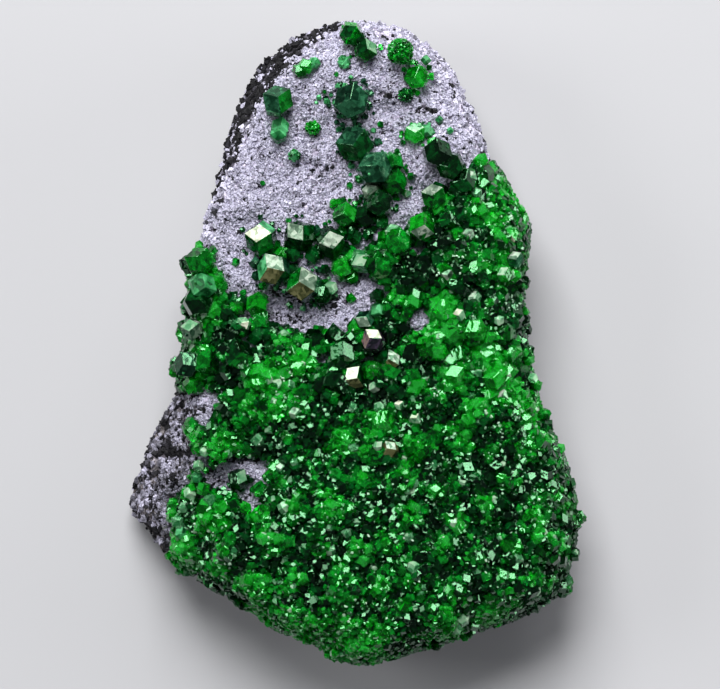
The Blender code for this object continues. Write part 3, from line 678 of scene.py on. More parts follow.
def buildRock():
    # the ringed grid, roughened by two sizes of facets and a fine jitter; flat where it rests
    grid = slabGrid(slab["around"], slab["frontRows"], slab["sideRows"])
    normals = gridNormals(grid)
    rows, around, _ = grid.shape
    points, flat = grid.reshape(-1, 3), normals.reshape(-1, 3)
    hold = smooth(0.0, 1.2, points[:, 2])
    sunk = slab["sunk"][0] + slab["sunk"][1] * np.clip(flat[:, 2], 0, 1)
    rough = sum(rise * (facets(points, size, seed) - sunk) for size, rise, seed in slab["facets"])
    rng = np.random.default_rng(slab["seed"])
    rough = rough + slab["jitter"] * rng.uniform(*slab["jitterReach"], len(points))
    points = points + flat * (rough * hold)[:, None]
    top = np.array([[*slab["pole"], frontHeight(*slab["pole"])]])
    bottom = np.array([[*slab["pole"], 0.0]])
    points = np.clip(np.vstack((points, top, bottom)), boxLow, boxHigh)
    quads, fans = gridFaces(rows, around)
    looks = {
        "brownAndShade": brownAndShadeAt(points), "stain": stainAt(points), "shadeAndDark": 0.9 * shadeAndDarkAt(points[:, 0], points[:, 1]),
    }
    piece = makePiece("rock_body", points, [quads, fans], [stone], attributes=looks)
    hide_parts("matrix")
    return points[:-2].reshape(grid.shape), normals


rockGrid, rockNormals = buildRock()
print("rock: built")

grains = {
    "front": 16000, "sides": 7000, "seed": 15,
    "frontSize": (0.13, 0.26), "sideSize": (0.20, 0.42),
    # how far the middle of a grain stands over the rock, in sizes
    "lift": (-0.2, 0.1),
    # middle and spread of the tone, and the share of black specks
    "frontTone": (0.62, 0.12, 0.03), "sideTone": (0.60, 0.20, 0.10),
    # rolling tone of the whole: size, rise, seed
    "roll": (1.5, 0.035, 55),
    # more black specks on the sides and in the painted shade and shadows, their lightest tone, and how much darker
    # the grains on the sides are, a brown tint with painted shade
    "specksBrownAndShade": 0.25, "specksShadeAndDark": 0.8, "black": 0.16, "brownAndShadeDarkening": 0.58,
}


def blocks(middles, sizes, rng):
    # rough blocks: eight corners of a cube, each moved at random, turned at random
    count = len(middles)
    cube = np.array([(a, b, c) for a in (-1, 1) for b in (-1, 1) for c in (-1, 1)], float)
    corners = cube[None] + rng.uniform(-0.45, 0.45, (count, 8, 3))
    corners = corners * rng.uniform(0.65, 1.25, (count, 1, 3)) * sizes[:, None, None] / 2
    turns = randomTurns(rng, count)
    points = np.einsum("nij,nkj->nki", turns, corners) + middles[:, None]
    quads = np.array([(0, 1, 3, 2), (4, 6, 7, 5), (0, 4, 5, 1), (2, 3, 7, 6), (0, 2, 6, 4), (1, 5, 7, 3)])
    faces = (quads[None] + 8 * np.arange(count)[:, None, None]).reshape(-1, 4)
    return points.reshape(-1, 3), faces


def randomTurns(rng, count):
    # even random rotations from unit quaternions
    w, x, y, z = unit(rng.normal(size=(count, 4))).T
    rows = (
        (1 - 2 * (y * y + z * z), 2 * (x * y - z * w), 2 * (x * z + y * w)),
        (2 * (x * y + z * w), 1 - 2 * (x * x + z * z), 2 * (y * z - x * w)),
        (2 * (x * z - y * w), 2 * (y * z + x * w), 1 - 2 * (x * x + y * y)),
    )
    return np.stack([np.stack(row, -1) for row in rows], 1)


def scatterOn(grid, weights, count, rng):
    # random spots on the ringed grid, as many to each cell as its area times its weight asks
    a, b, c = grid[:-1], np.roll(grid[:-1], -1, 1), grid[1:]
    d = np.roll(grid[1:], -1, 1)
    area = np.linalg.norm(np.cross(b - a, c - a), axis=-1)
    share = (area * weights[:-1]).ravel()
    picks = rng.choice(len(share), count, p=share / share.sum())
    s, t = rng.uniform(size=(2, count, 1))
    a, b, c, d = (corner.reshape(-1, 3)[picks] for corner in (a, b, c, d))
    return blend(blend(a, b, s), blend(c, d, s), t), picks


def buildGrains():
    # grains on all rock that shows, sunk by a third; pale on the front, darker on the sides (brown tint and painted
    # shade), with more and blacker specks in the painted shade and shadows
    rng = np.random.default_rng(grains["seed"])
    x, y, z = np.moveaxis(rockGrid, -1, 0)
    bare = 1 - crustMask(x, y)
    share = z / frontHeight(x, y)
    front = np.where(share > 0.9, bare, 0)
    sides = np.where((share < 0.93) & (z > 0.35), np.maximum(bare, share < crustFoot(x, y)), 0)
    normals = rockNormals[:-1].reshape(-1, 3)
    for name, weights, count, sizes, tones in (
        ("rock_grains_front", front, grains["front"], grains["frontSize"], grains["frontTone"]),
        ("rock_grains_sides", sides, grains["sides"], grains["sideSize"], grains["sideTone"]),
    ):
        spots, picks = scatterOn(rockGrid, weights, count, rng)
        size = rng.uniform(*sizes, count)
        spots = spots + normals[picks] * (size * rng.uniform(*grains["lift"], count))[:, None]
        points, faces = blocks(spots, size, rng)
        middle, spread, specks = tones
        brownAndShade, shadeAndDark = brownAndShadeAt(spots), shadeAndDarkAt(*spots[:, :2].T)
        tone = rng.normal(middle, spread * (1 + 0.5 * brownAndShade), count)
        tone = tone + lumps(*spots[:, :2].T, *grains["roll"])
        # more specks, and blacker ones, where the shade and shadows are painted
        specks = specks + grains["specksBrownAndShade"] * brownAndShade + grains["specksShadeAndDark"] * shadeAndDark
        black = rng.uniform(size=count) < specks
        darkest = rng.uniform(0, grains["black"], count) * (1 - 0.8 * shadeAndDark)
        tone = np.where(black, darkest, tone * (1 - grains["brownAndShadeDarkening"] * brownAndShade))
        looks = {"tone": np.repeat(np.clip(tone, 0.02, 1), 8)}
        makePiece(name, keptInBox(points, 8), [faces], [grainStone], attributes=looks)


buildGrains()
print("grains: built")


# The crust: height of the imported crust, eased, carries the small crystals

crust = {
    "cell": 0.3, "easing": 3, "seed": 21,
    # spacing and width of the small crystals by zone
    "zones": {
        "tip": {"spacing": 0.29, "width": (0.26, 0.50), "boldSpacing": 1.6, "bold": (0.5, 0.8)},
        "lower": {"spacing": 0.38, "width": (0.34, 0.78), "boldSpacing": 2.1, "bold": (0.8, 1.25)},
        "middle": {"spacing": 0.44, "width": (0.38, 0.98), "boldSpacing": 2.0, "bold": (1.1, 1.9)},
    },
    # y below which the tip and the lower zone begin
    "tipBelow": -19.5, "lowerBelow": -3.5,
    # a sparser second layer: how much wider apart, and how much larger
    "upperSpacing": 2.3, "upperWidth": 1.35,
    # height of a crystal's middle over the bed for the first, second and bold layer, in widths, and its spread
    "lifts": (-0.42, -0.22, -0.26), "liftSpread": (-0.12, 0.08),
    # side crystals: how many, how wide, and how much painted light lifts their tone along the crust's edge
    "sideCount": 2100, "sideWidth": (0.45, 0.95), "sideRimLight": 0.24,
    # width of a crystal whose blunt corners lie at (1, 1, 1)
    "unitWidth": 3.2,
    # how much the faces of a crystal differ in tone; lean of a face that says only which way it looks, and tone of
    # a face with a garnet of its own
    "faceSpread": 0.19, "faceLean": 35.0, "faceTone": 0.62,
    # tone of the whole, its spread from crystal to crystal, and the tones at which the garnet changes
    "tone": 0.37, "toneSpread": 0.13, "toneSteps": (0.30, 0.58), "paleShare": 0.03,
    # rolling tone: size, rise, seed; how far a neighbour lies that a hollow is measured from, and how much painted
    # shade darkens it
    "rolls": [(4.0, 0.10, 61), (1.8, 0.12, 62), (0.9, 0.10, 63)], "hollowReach": 1.2, "hollowShade": 0.9,
}


def treeOf(mesh, unitLength):
    # the mesh's faces, ready for rays, in the given unit
    spots = [tuple(vert.co / unitLength) for vert in mesh.vertices]
    return BVHTree.FromPolygons(spots, [tuple(face.vertices) for face in mesh.polygons])


crustTree = treeOf(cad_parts["garnet_crust"].data, mm)


def crustHeights():
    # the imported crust's height on a square grid, eased by repeated averaging
    xs = np.arange(-18, 18.01, crust["cell"])
    ys = np.arange(-25.2, 15.61, crust["cell"])
    gridX, gridY = np.meshgrid(xs, ys, indexing="ij")
    rock = frontHeight(gridX, gridY)
    top = rock + 0.2
    down = Vector((0, 0, -1))
    for i, x in enumerate(xs):
        for j, y in enumerate(ys):
            hit = crustTree.ray_cast(Vector((x, y, 30)), down)[0]
            if hit is not None and hit.z > 0.7 * rock[i, j]:
                top[i, j] = hit.z
    for _ in range(crust["easing"]):
        for axis in (0, 1):
            top = eased(top, axis)
    return xs, ys, top


crustXs, crustYs, crustTop = crustHeights()


def crustLevel(x, y):
    # the eased height at any point, by bilinear interpolation
    i = np.clip((x - crustXs[0]) / crust["cell"], 0, len(crustXs) - 1.001)
    j = np.clip((y - crustYs[0]) / crust["cell"], 0, len(crustYs) - 1.001)
    a, b = i.astype(int), j.astype(int)
    s, t = i - a, j - b
    near, far = (blend(crustTop[a, row], crustTop[a + 1, row], s) for row in (b, b + 1))
    return blend(near, far, t)


def hexSpots(spacing, seed, box=(-18, 18, -25, 15)):
    # a honeycomb of points, each moved at random
    rng = np.random.default_rng(seed)
    rows = np.arange(int((box[3] - box[2]) / (spacing * 0.866)) + 1)
    columns = np.arange(int((box[1] - box[0]) / spacing) + 1)
    row, column = np.meshgrid(rows, columns, indexing="ij")
    x = box[0] + (column + 0.5 * (row % 2)) * spacing
    y = box[2] + row * spacing * 0.866
    spots = np.stack((x.ravel(), y.ravel()), 1)
    return spots + rng.uniform(-0.3, 0.3, spots.shape) * spacing


cornerUp = np.array(Vector((1, 1, 1)).rotation_difference(Vector((0, 0, 1))).to_matrix())
firstFace = cornerUp @ np.array((1.0, 1.0, 0.0))
spinStart = math.pi / 2 - math.atan2(firstFace[1], firstFace[0])


def axisTurns(angles, axis):
    # rotation matrices about X, Y or Z for an array of angles
    c, s = np.cos(angles), np.sin(angles)
    result = np.zeros((len(angles), 3, 3))
    a, b = (axis + 1) % 3, (axis + 2) % 3
    result[:, axis, axis] = 1
    result[:, a, a], result[:, b, b] = c, c
    result[:, a, b], result[:, b, a] = -s, s
    return result


def crystalTurns(tiltX, tiltY, spin):
    # tilt about X, tilt about Y and spin in degrees, from a blunt corner up
    turnX, turnY = axisTurns(np.radians(tiltX), 0), axisTurns(np.radians(tiltY), 1)
    return turnX @ turnY @ axisTurns(spinStart + np.radians(spin), 2) @ cornerUp


def facingTurn(up, along, nx, ny, angle):
    # turns the crystal's own "up" to look along (nx, ny, the rest) and its "along" to an angle in the picture's plane
    up, along = unit(np.array(up)), unit(np.array(along))
    normal = np.array((nx, ny, math.sqrt(1 - nx * nx - ny * ny)))
    level = np.array((*wayOf(angle), 0.0))
    level = unit(level - normal * (level @ normal))
    return np.outer(level, along) + np.outer(np.cross(normal, level), np.cross(up, along)) + np.outer(normal, up)


def squareTo(points, quads):
    # square to each face, from its first two edges
    return np.cross(points[quads[:, 1]] - points[quads[:, 0]], points[quads[:, 2]] - points[quads[:, 0]])


def dodecahedra(middles, widths, turns, stretch=None):
    # rhombic dodecahedra: eight blunt corners at (1, 1, 1) and six tips at 2 on the axes, scaled, turned, placed
    corners = [(a, b, c) for a in (-1, 1) for b in (-1, 1) for c in (-1, 1)]
    for axis in range(3):
        for side in (-1, 1):
            corners.append(tuple(2 * side if k == axis else 0 for k in range(3)))
    quads = []
    for first in range(3):
        second, other = (first + 1) % 3, (first + 2) % 3
        for a in (-1, 1):
            for b in (-1, 1):
                key = [[0, 0, 0] for _ in range(4)]
                key[0][first] = 2 * a
                key[2][second] = 2 * b
                for index, c in ((1, -1), (3, 1)):
                    key[index][first], key[index][second], key[index][other] = a, b, c
                if a * b < 0:
                    key.reverse()
                quads.append([corners.index(tuple(k)) for k in key])
    corners = np.array(corners, float)
    quads = np.array(quads)
    inward = (corners[quads].mean(1) * squareTo(corners, quads)).sum(1) < 0
    quads[inward] = quads[inward][:, ::-1]
    count = len(middles)
    shape = corners[None] * (np.ones((count, 1, 3)) if stretch is None else stretch[:, None])
    sizes = (widths / crust["unitWidth"])[:, None, None]
    points = np.einsum("nij,nkj->nki", turns, shape) * sizes + middles[:, None]
    faces = (quads[None] + 14 * np.arange(count)[:, None, None]).reshape(-1, 4)
    return points.reshape(-1, 3), faces


# painted light and shade on the crust, where it glows brighter and where it lies in shade: x, y, radius, amount
lightAndShadeSpots = [
    (0.0, -21.5, 5.0, 0.10), (12.5, -18.0, 4.0, -0.12), (-5.5, -3.0, 3.0, 0.12), (8.8, -1.5, 4.0, 0.12),
    (-11.6, 6.0, 1.1, 0.10), (-11.4, 4.5, 0.9, 0.35), (-7.4, 3.7, 0.8, 0.35), (-6.7, 2.9, 0.8, 0.40),
    (-9.8, 2.5, 0.9, 0.30), (-11.2, 1.6, 0.8, 0.30), (-4.4, 0.4, 1.0, 0.15), (-3.4, -0.8, 0.8, 0.30),
    (-7.6, -2.3, 0.8, 0.30), (-5.7, -2.7, 1.2, 0.50), (-7.9, -4.0, 0.8, 0.35), (-4.8, -3.7, 0.9, 0.30),
    (-7.3, -5.3, 1.0, 0.35), (-12.0, -6.5, 0.7, 0.35), (-9.9, -6.7, 0.8, 0.35), (-9.0, -7.2, 0.8, 0.45),
    (-1.3, -3.6, 0.8, 0.30), (2.0, -5.5, 0.9, 0.40), (-1.0, -6.2, 0.8, 0.30), (-1.1, -7.3, 0.8, 0.40),
    (-3.2, -8.5, 0.9, 0.40), (-1.0, 5.0, 0.7, 0.40), (-11.4, -1.3, 0.8, 0.20), (-11.6, 3.1, 0.9, -0.25),
    (-9.8, 1.1, 1.2, -0.50), (-8.6, -0.7, 1.2, -0.25), (-6.4, 1.4, 0.9, -0.30), (-5.9, -0.1, 0.9, -0.25),
    (-9.5, -1.9, 0.8, -0.35), (-10.0, -5.0, 0.8, -0.35), (-8.4, -5.0, 0.7, -0.25), (-6.7, -6.1, 0.8, -0.35),
    (-6.9, -7.0, 0.8, -0.25), (-5.6, -7.8, 0.9, -0.30), (-4.1, -6.5, 0.8, -0.45), (-3.4, -7.4, 0.8, -0.45),
    (-2.9, -2.9, 0.8, -0.30), (-2.5, -4.0, 0.9, -0.40), (-2.2, -5.3, 0.9, -0.35), (-1.8, -2.5, 0.7, -0.30),
    (0.4, -4.6, 0.8, -0.30), (2.0, -3.1, 1.0, -0.30), (-4.6, -9.2, 0.7, -0.25), (-10.1, -12.4, 0.9, 0.25),
    (-11.1, -13.0, 0.8, 0.25), (-11.0, -13.9, 0.9, 0.30), (-7.1, -12.8, 0.8, 0.30), (-12.8, -15.6, 1.0, 0.55),
    (-13.7, -16.4, 0.8, 0.50), (-12.2, -16.5, 0.8, 0.35), (-9.8, -16.6, 0.8, 0.20), (-7.4, -17.4, 1.1, 0.30),
    (-7.4, -19.4, 0.8, 0.40), (-6.7, -20.3, 0.8, 0.35), (-5.2, -20.6, 0.9, 0.40), (-4.2, -21.5, 0.9, 0.45),
    (-2.2, -22.1, 1.1, 0.40), (-0.7, -23.0, 1.4, 0.45), (0.8, -22.4, 1.1, 0.35), (0.7, -16.3, 0.7, 0.20),
    (-3.7, -11.3, 0.9, 0.15), (-0.2, -12.4, 0.9, 0.15), (-8.9, -14.2, 0.8, -0.45), (-7.8, -16.2, 0.9, -0.45),
    (-11.2, -15.2, 0.7, -0.30), (-5.2, -13.3, 0.9, -0.20), (-3.4, -16.3, 0.8, -0.35), (-9.4, -18.8, 0.9, -0.30),
    (2.5, -11.8, 0.9, -0.40), (0.5, -11.8, 0.7, -0.20), (-1.7, -18.2, 0.8, -0.25), (3.5, -21.1, 1.0, -0.30),
    (-1.9, -20.8, 0.7, -0.20), (7.3, -2.8, 0.9, 0.40), (10.7, -3.0, 0.9, 0.30), (8.3, -5.1, 0.9, 0.40),
    (8.1, -6.5, 0.9, 0.40), (6.6, -6.6, 0.8, 0.30), (13.3, -4.7, 0.9, 0.50), (13.6, -5.6, 0.8, 0.35),
    (4.3, -7.9, 0.9, 0.40), (4.2, -9.4, 0.9, 0.30), (9.8, -11.3, 0.7, 0.30), (4.3, -12.6, 0.9, 0.15),
    (6.6, -11.2, 0.9, 0.20), (13.8, -12.3, 0.9, 0.25), (11.3, -16.1, 0.9, 0.30), (6.2, -17.7, 1.1, 0.30),
    (10.0, -20.0, 0.9, 0.50), (11.5, -20.0, 0.8, 0.40), (13.6, -17.3, 0.8, 0.25), (15.9, -17.8, 0.7, 0.30),
    (7.4, -21.3, 0.9, 0.40), (-0.5, -7.6, 0.8, 0.35), (6.6, -5.3, 0.9, -0.40), (5.8, -4.7, 0.8, -0.40),
    (6.0, -9.4, 0.8, -0.35), (8.1, -10.0, 0.9, -0.45), (10.0, -9.4, 1.0, -0.35), (13.9, -9.8, 1.3, -0.45),
    (11.3, -12.3, 1.0, -0.55), (15.7, -13.2, 0.9, -0.40), (9.8, -15.8, 0.8, -0.35), (14.3, -16.9, 0.9, -0.45),
    (8.7, -17.8, 0.9, -0.45), (10.8, -17.6, 0.8, -0.30), (13.6, -18.7, 0.9, -0.35), (13.8, -20.2, 1.4, -0.50),
    (3.1, -19.8, 1.0, -0.25), (4.7, -20.3, 0.9, -0.25), (5.8, -13.4, 0.9, -0.25), (9.9, 13.0, 0.8, 0.35),
    (10.6, 12.2, 0.8, 0.40), (11.5, 10.9, 0.8, 0.50), (9.8, 9.4, 0.9, 0.50), (9.1, 10.5, 0.7, 0.30),
    (12.7, 9.4, 0.7, 0.40), (10.8, 7.1, 0.8, 0.45), (11.3, 5.2, 0.7, 0.50), (6.6, 3.8, 0.7, 0.40),
    (6.7, 3.1, 0.8, 0.50), (5.8, 1.4, 1.0, 0.50), (7.7, 0.3, 1.0, 0.45), (9.9, -0.1, 0.9, 0.40),
    (7.0, -0.9, 0.9, 0.30), (10.4, -1.6, 1.1, 0.55), (7.0, -2.5, 0.9, 0.35), (10.4, -3.4, 0.9, 0.40),
    (13.3, -4.0, 0.8, 0.40), (3.6, 3.8, 0.6, 0.40), (3.8, -0.1, 0.7, 0.30), (5.1, 8.6, 0.8, 0.50),
    (6.5, 10.9, 0.7, 0.35), (2.9, 10.8, 0.9, -0.40), (1.5, 9.4, 1.0, -0.45), (6.8, 12.8, 0.9, -0.35),
    (8.3, 11.4, 0.9, -0.35), (6.2, 9.7, 0.8, -0.30), (8.7, 9.4, 0.8, -0.35), (6.1, 7.3, 0.9, -0.40),
    (4.6, 5.7, 1.0, -0.50), (5.1, 5.0, 0.9, -0.50), (8.5, 5.0, 0.9, -0.35), (8.9, 4.2, 0.9, -0.35),
    (9.8, 2.7, 1.0, -0.40), (12.1, 1.1, 1.0, -0.45), (11.2, -0.1, 0.7, -0.30), (4.0, 4.4, 0.8, -0.45),
    (2.9, 0.8, 0.9, -0.40), (1.9, -0.3, 0.8, -0.35), (3.6, -2.3, 1.1, -0.40), (2.1, -3.4, 0.9, -0.35),
    (-1.6, -2.5, 0.8, -0.30), (-1.1, 0.1, 1.0, -0.25), (6.5, -0.1, 0.4, -0.40),
]


def toneAt(x, y):
    # an even tone plus Gaussian spots of painted light and shade, painted shade in the hollows, and rolling noise
    tone = withSpots(np.full(np.shape(x), crust["tone"]), x, y, lightAndShadeSpots)
    far = crust["hollowReach"]
    around = sum(crustLevel(x + a, y + b) for a, b in ((far, 0), (-far, 0), (0, far), (0, -far))) / 4
    tone = tone + crust["hollowShade"] * np.clip(crustLevel(x, y) - around, -0.3, 0.2)
    for roll in crust["rolls"]:
        tone = tone + lumps(x, y, *roll)
    return tone


def buildCrust():
    # small crystals on the eased crust: denser and finer towards the lower tip, and a belt round the side
    rng = np.random.default_rng(crust["seed"])
    rim = pulledIn(rockRim(), 0.1)
    middles, widths = [], []
    for number, look in enumerate(crust["zones"].values()):
        spacings = (look["spacing"], look["spacing"] * crust["upperSpacing"], look["boldSpacing"])
        for layer, spacing in enumerate(spacings):
            spots = hexSpots(spacing, 30 + 10 * number + layer)
            x, y = spots.T
            border = lumps(x, y, 3.0, 0.7, 71)
            tip, lower = y + 0.25 * x + border < crust["tipBelow"], y + border < crust["lowerBelow"]
            zoneOf = np.where(tip, 0, np.where(lower, 1, 2))
            keep = (zoneOf == number) & inside(x, y, rim)
            keep &= rng.uniform(size=len(x)) < crustMask(x, y, 0.35) ** 1.5
            x, y = x[keep], y[keep]
            width = rng.uniform(*look["width" if layer < 2 else "bold"], len(x)) * (1, crust["upperWidth"], 1)[layer]
            lift = crust["lifts"][layer] * width + rng.uniform(*crust["liftSpread"], len(x))
            middles.append(np.stack((x, y, crustLevel(x, y) + lift), 1))
            widths.append(width)
    middles, widths = np.concatenate(middles), np.concatenate(widths)
    return middles, widths, rng


def sideSpots(rng):
    # rays from outside towards the slab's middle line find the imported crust's side
    steps, away, steepest = 2000, 3, 0.75
    loop = evenLoop(np.array(slab["outline"]), steps)
    inward = pulledIn(loop, 1.0) - loop
    picks = rng.integers(0, steps, 6 * crust["sideCount"])
    found = []
    for (px, py), (ix, iy), share in zip(loop[picks], inward[picks], rng.uniform(0.5, 1.0, len(picks))):
        start = Vector((px - away * ix, py - away * iy, share * slab["front"] * 1.08))
        hit, normal, _, _ = crustTree.ray_cast(start, Vector((ix, iy, 0)), 2.0 * away)
        if hit is not None and normal.z < steepest:
            found.append((*hit, *normal))
        if len(found) >= crust["sideCount"]:
            break
    found = np.array(found)
    x, y, z = found[:, :3].T
    found = found[z / frontHeight(x, y) > crustFoot(x, y) - 0.06]
    return found[:, :3], found[:, 3:]


middles, widths, crustRng = buildCrust()
sidePoints, sideNormals = sideSpots(crustRng)
sideWidths = crustRng.uniform(*crust["sideWidth"], len(sidePoints)) * np.where(sidePoints[:, 1] < -19, 0.7, 1)
sideMiddles = sidePoints - sideNormals * (0.5 * sideWidths)[:, None]


def paint(middles, rng, paintedLight=0.0):
    # which garnet each crystal is of, and its tone: both carry the painted light and shade of the crust, plus a raise
    # of painted light for the side crystals
    tone = toneAt(middles[:, 0], middles[:, 1]) + paintedLight + rng.normal(0, crust["toneSpread"], len(middles))
    kind = sum((tone >= step).astype(int) for step in crust["toneSteps"])
    kind = np.where(rng.uniform(size=len(middles)) < crust["paleShare"], garnetKinds.index("pale"), kind)
    return kind, rng.normal(0.43, 0.17, len(middles)) + 0.35 * (tone - 0.42)


def makeCrystals(name, middles, widths, turns, kinds, tones, stretch=None, faces=()):
    # crystals of twelve faces each, every face a little lighter or darker than its crystal;
    # "faces" gives single faces a garnet of their own: crystal, way it looks in the picture's plane and its lean, kind
    points, quads = dodecahedra(middles, widths, turns, stretch)
    points = keptInBox(points, 14)
    faceKinds, faceTones = np.repeat(kinds, 12), np.repeat(tones, 12)
    faceTones = faceTones + np.random.default_rng(len(middles)).normal(0, crust["faceSpread"], len(faceTones))
    normals = unit(squareTo(points, quads)).reshape(-1, 12, 3)
    # painted reflection and shade by face: faces turned to the light mostly get pale, silver or cream garnets, those
    # turned from it darker or browner ones, partly their own colour
    for index, way, kind in faces:
        way, lean = way if isinstance(way, tuple) else (way, crust["faceLean"])
        (c, s), (up, out) = wayOf(way), wayOf(lean)
        best = 12 * index + int(np.argmax(normals[index] @ np.array((out * c, out * s, up))))
        faceKinds[best], faceTones[best] = garnetKinds.index(kind), crust["faceTone"]
    return makePiece(
        name, points, [quads], [garnets[kind] for kind in garnetKinds],
        faceMaterials=faceKinds, attributes={"tone": np.clip(faceTones, 0, 1)},
    )


kinds, tones = paint(middles, crustRng)
stretch = 1 + 0.13 * crustRng.uniform(-1, 1, (len(middles), 3))
crustPiece = makeCrystals(
    "crust_crystals", middles, widths, randomTurns(crustRng, len(middles)), kinds, tones, stretch
)
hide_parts("garnet_crust")
kinds, tones = paint(sideMiddles, crustRng, crust["sideRimLight"])
makeCrystals(
    "crust_crystals_side", sideMiddles, sideWidths, randomTurns(crustRng, len(sideMiddles)), kinds, tones
)
print("crust:", len(middles), "crystals on the front,", len(sideMiddles), "on the side")


bed = {
    "rows": (252, 80, 6),
    # how deep it lies under the crust's height, the least and most it rises, and its rise on the side
    "depth": 0.5, "rise": (0.15, 2.0), "sideRise": 0.45,
    # how far it lies inside the bare rock, and over the ground
    "sunk": 0.35, "ground": 0.3,
    # facets: size across, rise, seed
    "facets": [(0.7, 0.22, 44), (0.35, 0.1, 45)],
}


def buildBed():
    # a second, coarser shell round the rock: it stands out of it under the crust and lies inside it elsewhere
    grid = slabGrid(*bed["rows"])
    normals = gridNormals(grid)
    rows, around, _ = grid.shape
    points, flat = grid.reshape(-1, 3), normals.reshape(-1, 3)
    x, y, z = points.T
    share = z / frontHeight(x, y)
    mask = crustMask(x, y, 0.3) * smooth(0.02, 0.12, share - crustFoot(x, y))
    rise = np.clip(crustLevel(x, y) - frontHeight(x, y) - bed["depth"], *bed["rise"])
    rise = np.where(share < 0.9, bed["sideRise"], rise)
    rough = sum(high * facets(points, size, seed) for size, high, seed in bed["facets"])
    points = points + flat * (mask * (rise + rough) - bed["sunk"] * (1 - mask))[:, None]
    points[:, 2] = np.maximum(points[:, 2], bed["ground"])
    top = np.array([points[:around].mean(0)])
    bottom = np.array([[*slab["pole"], bed["ground"]]])
    points = np.vstack((points, top, bottom))
    quads, fans = gridFaces(rows, around)
    # the bed's tone carries the crust's painted light and shade
    tone = np.clip(toneAt(points[:, 0], points[:, 1]), 0, 1)
    makePiece("crust_bed", points, [quads, fans], [garnets["bed"]], attributes={"tone": tone})


buildBed()
print("bed: built")

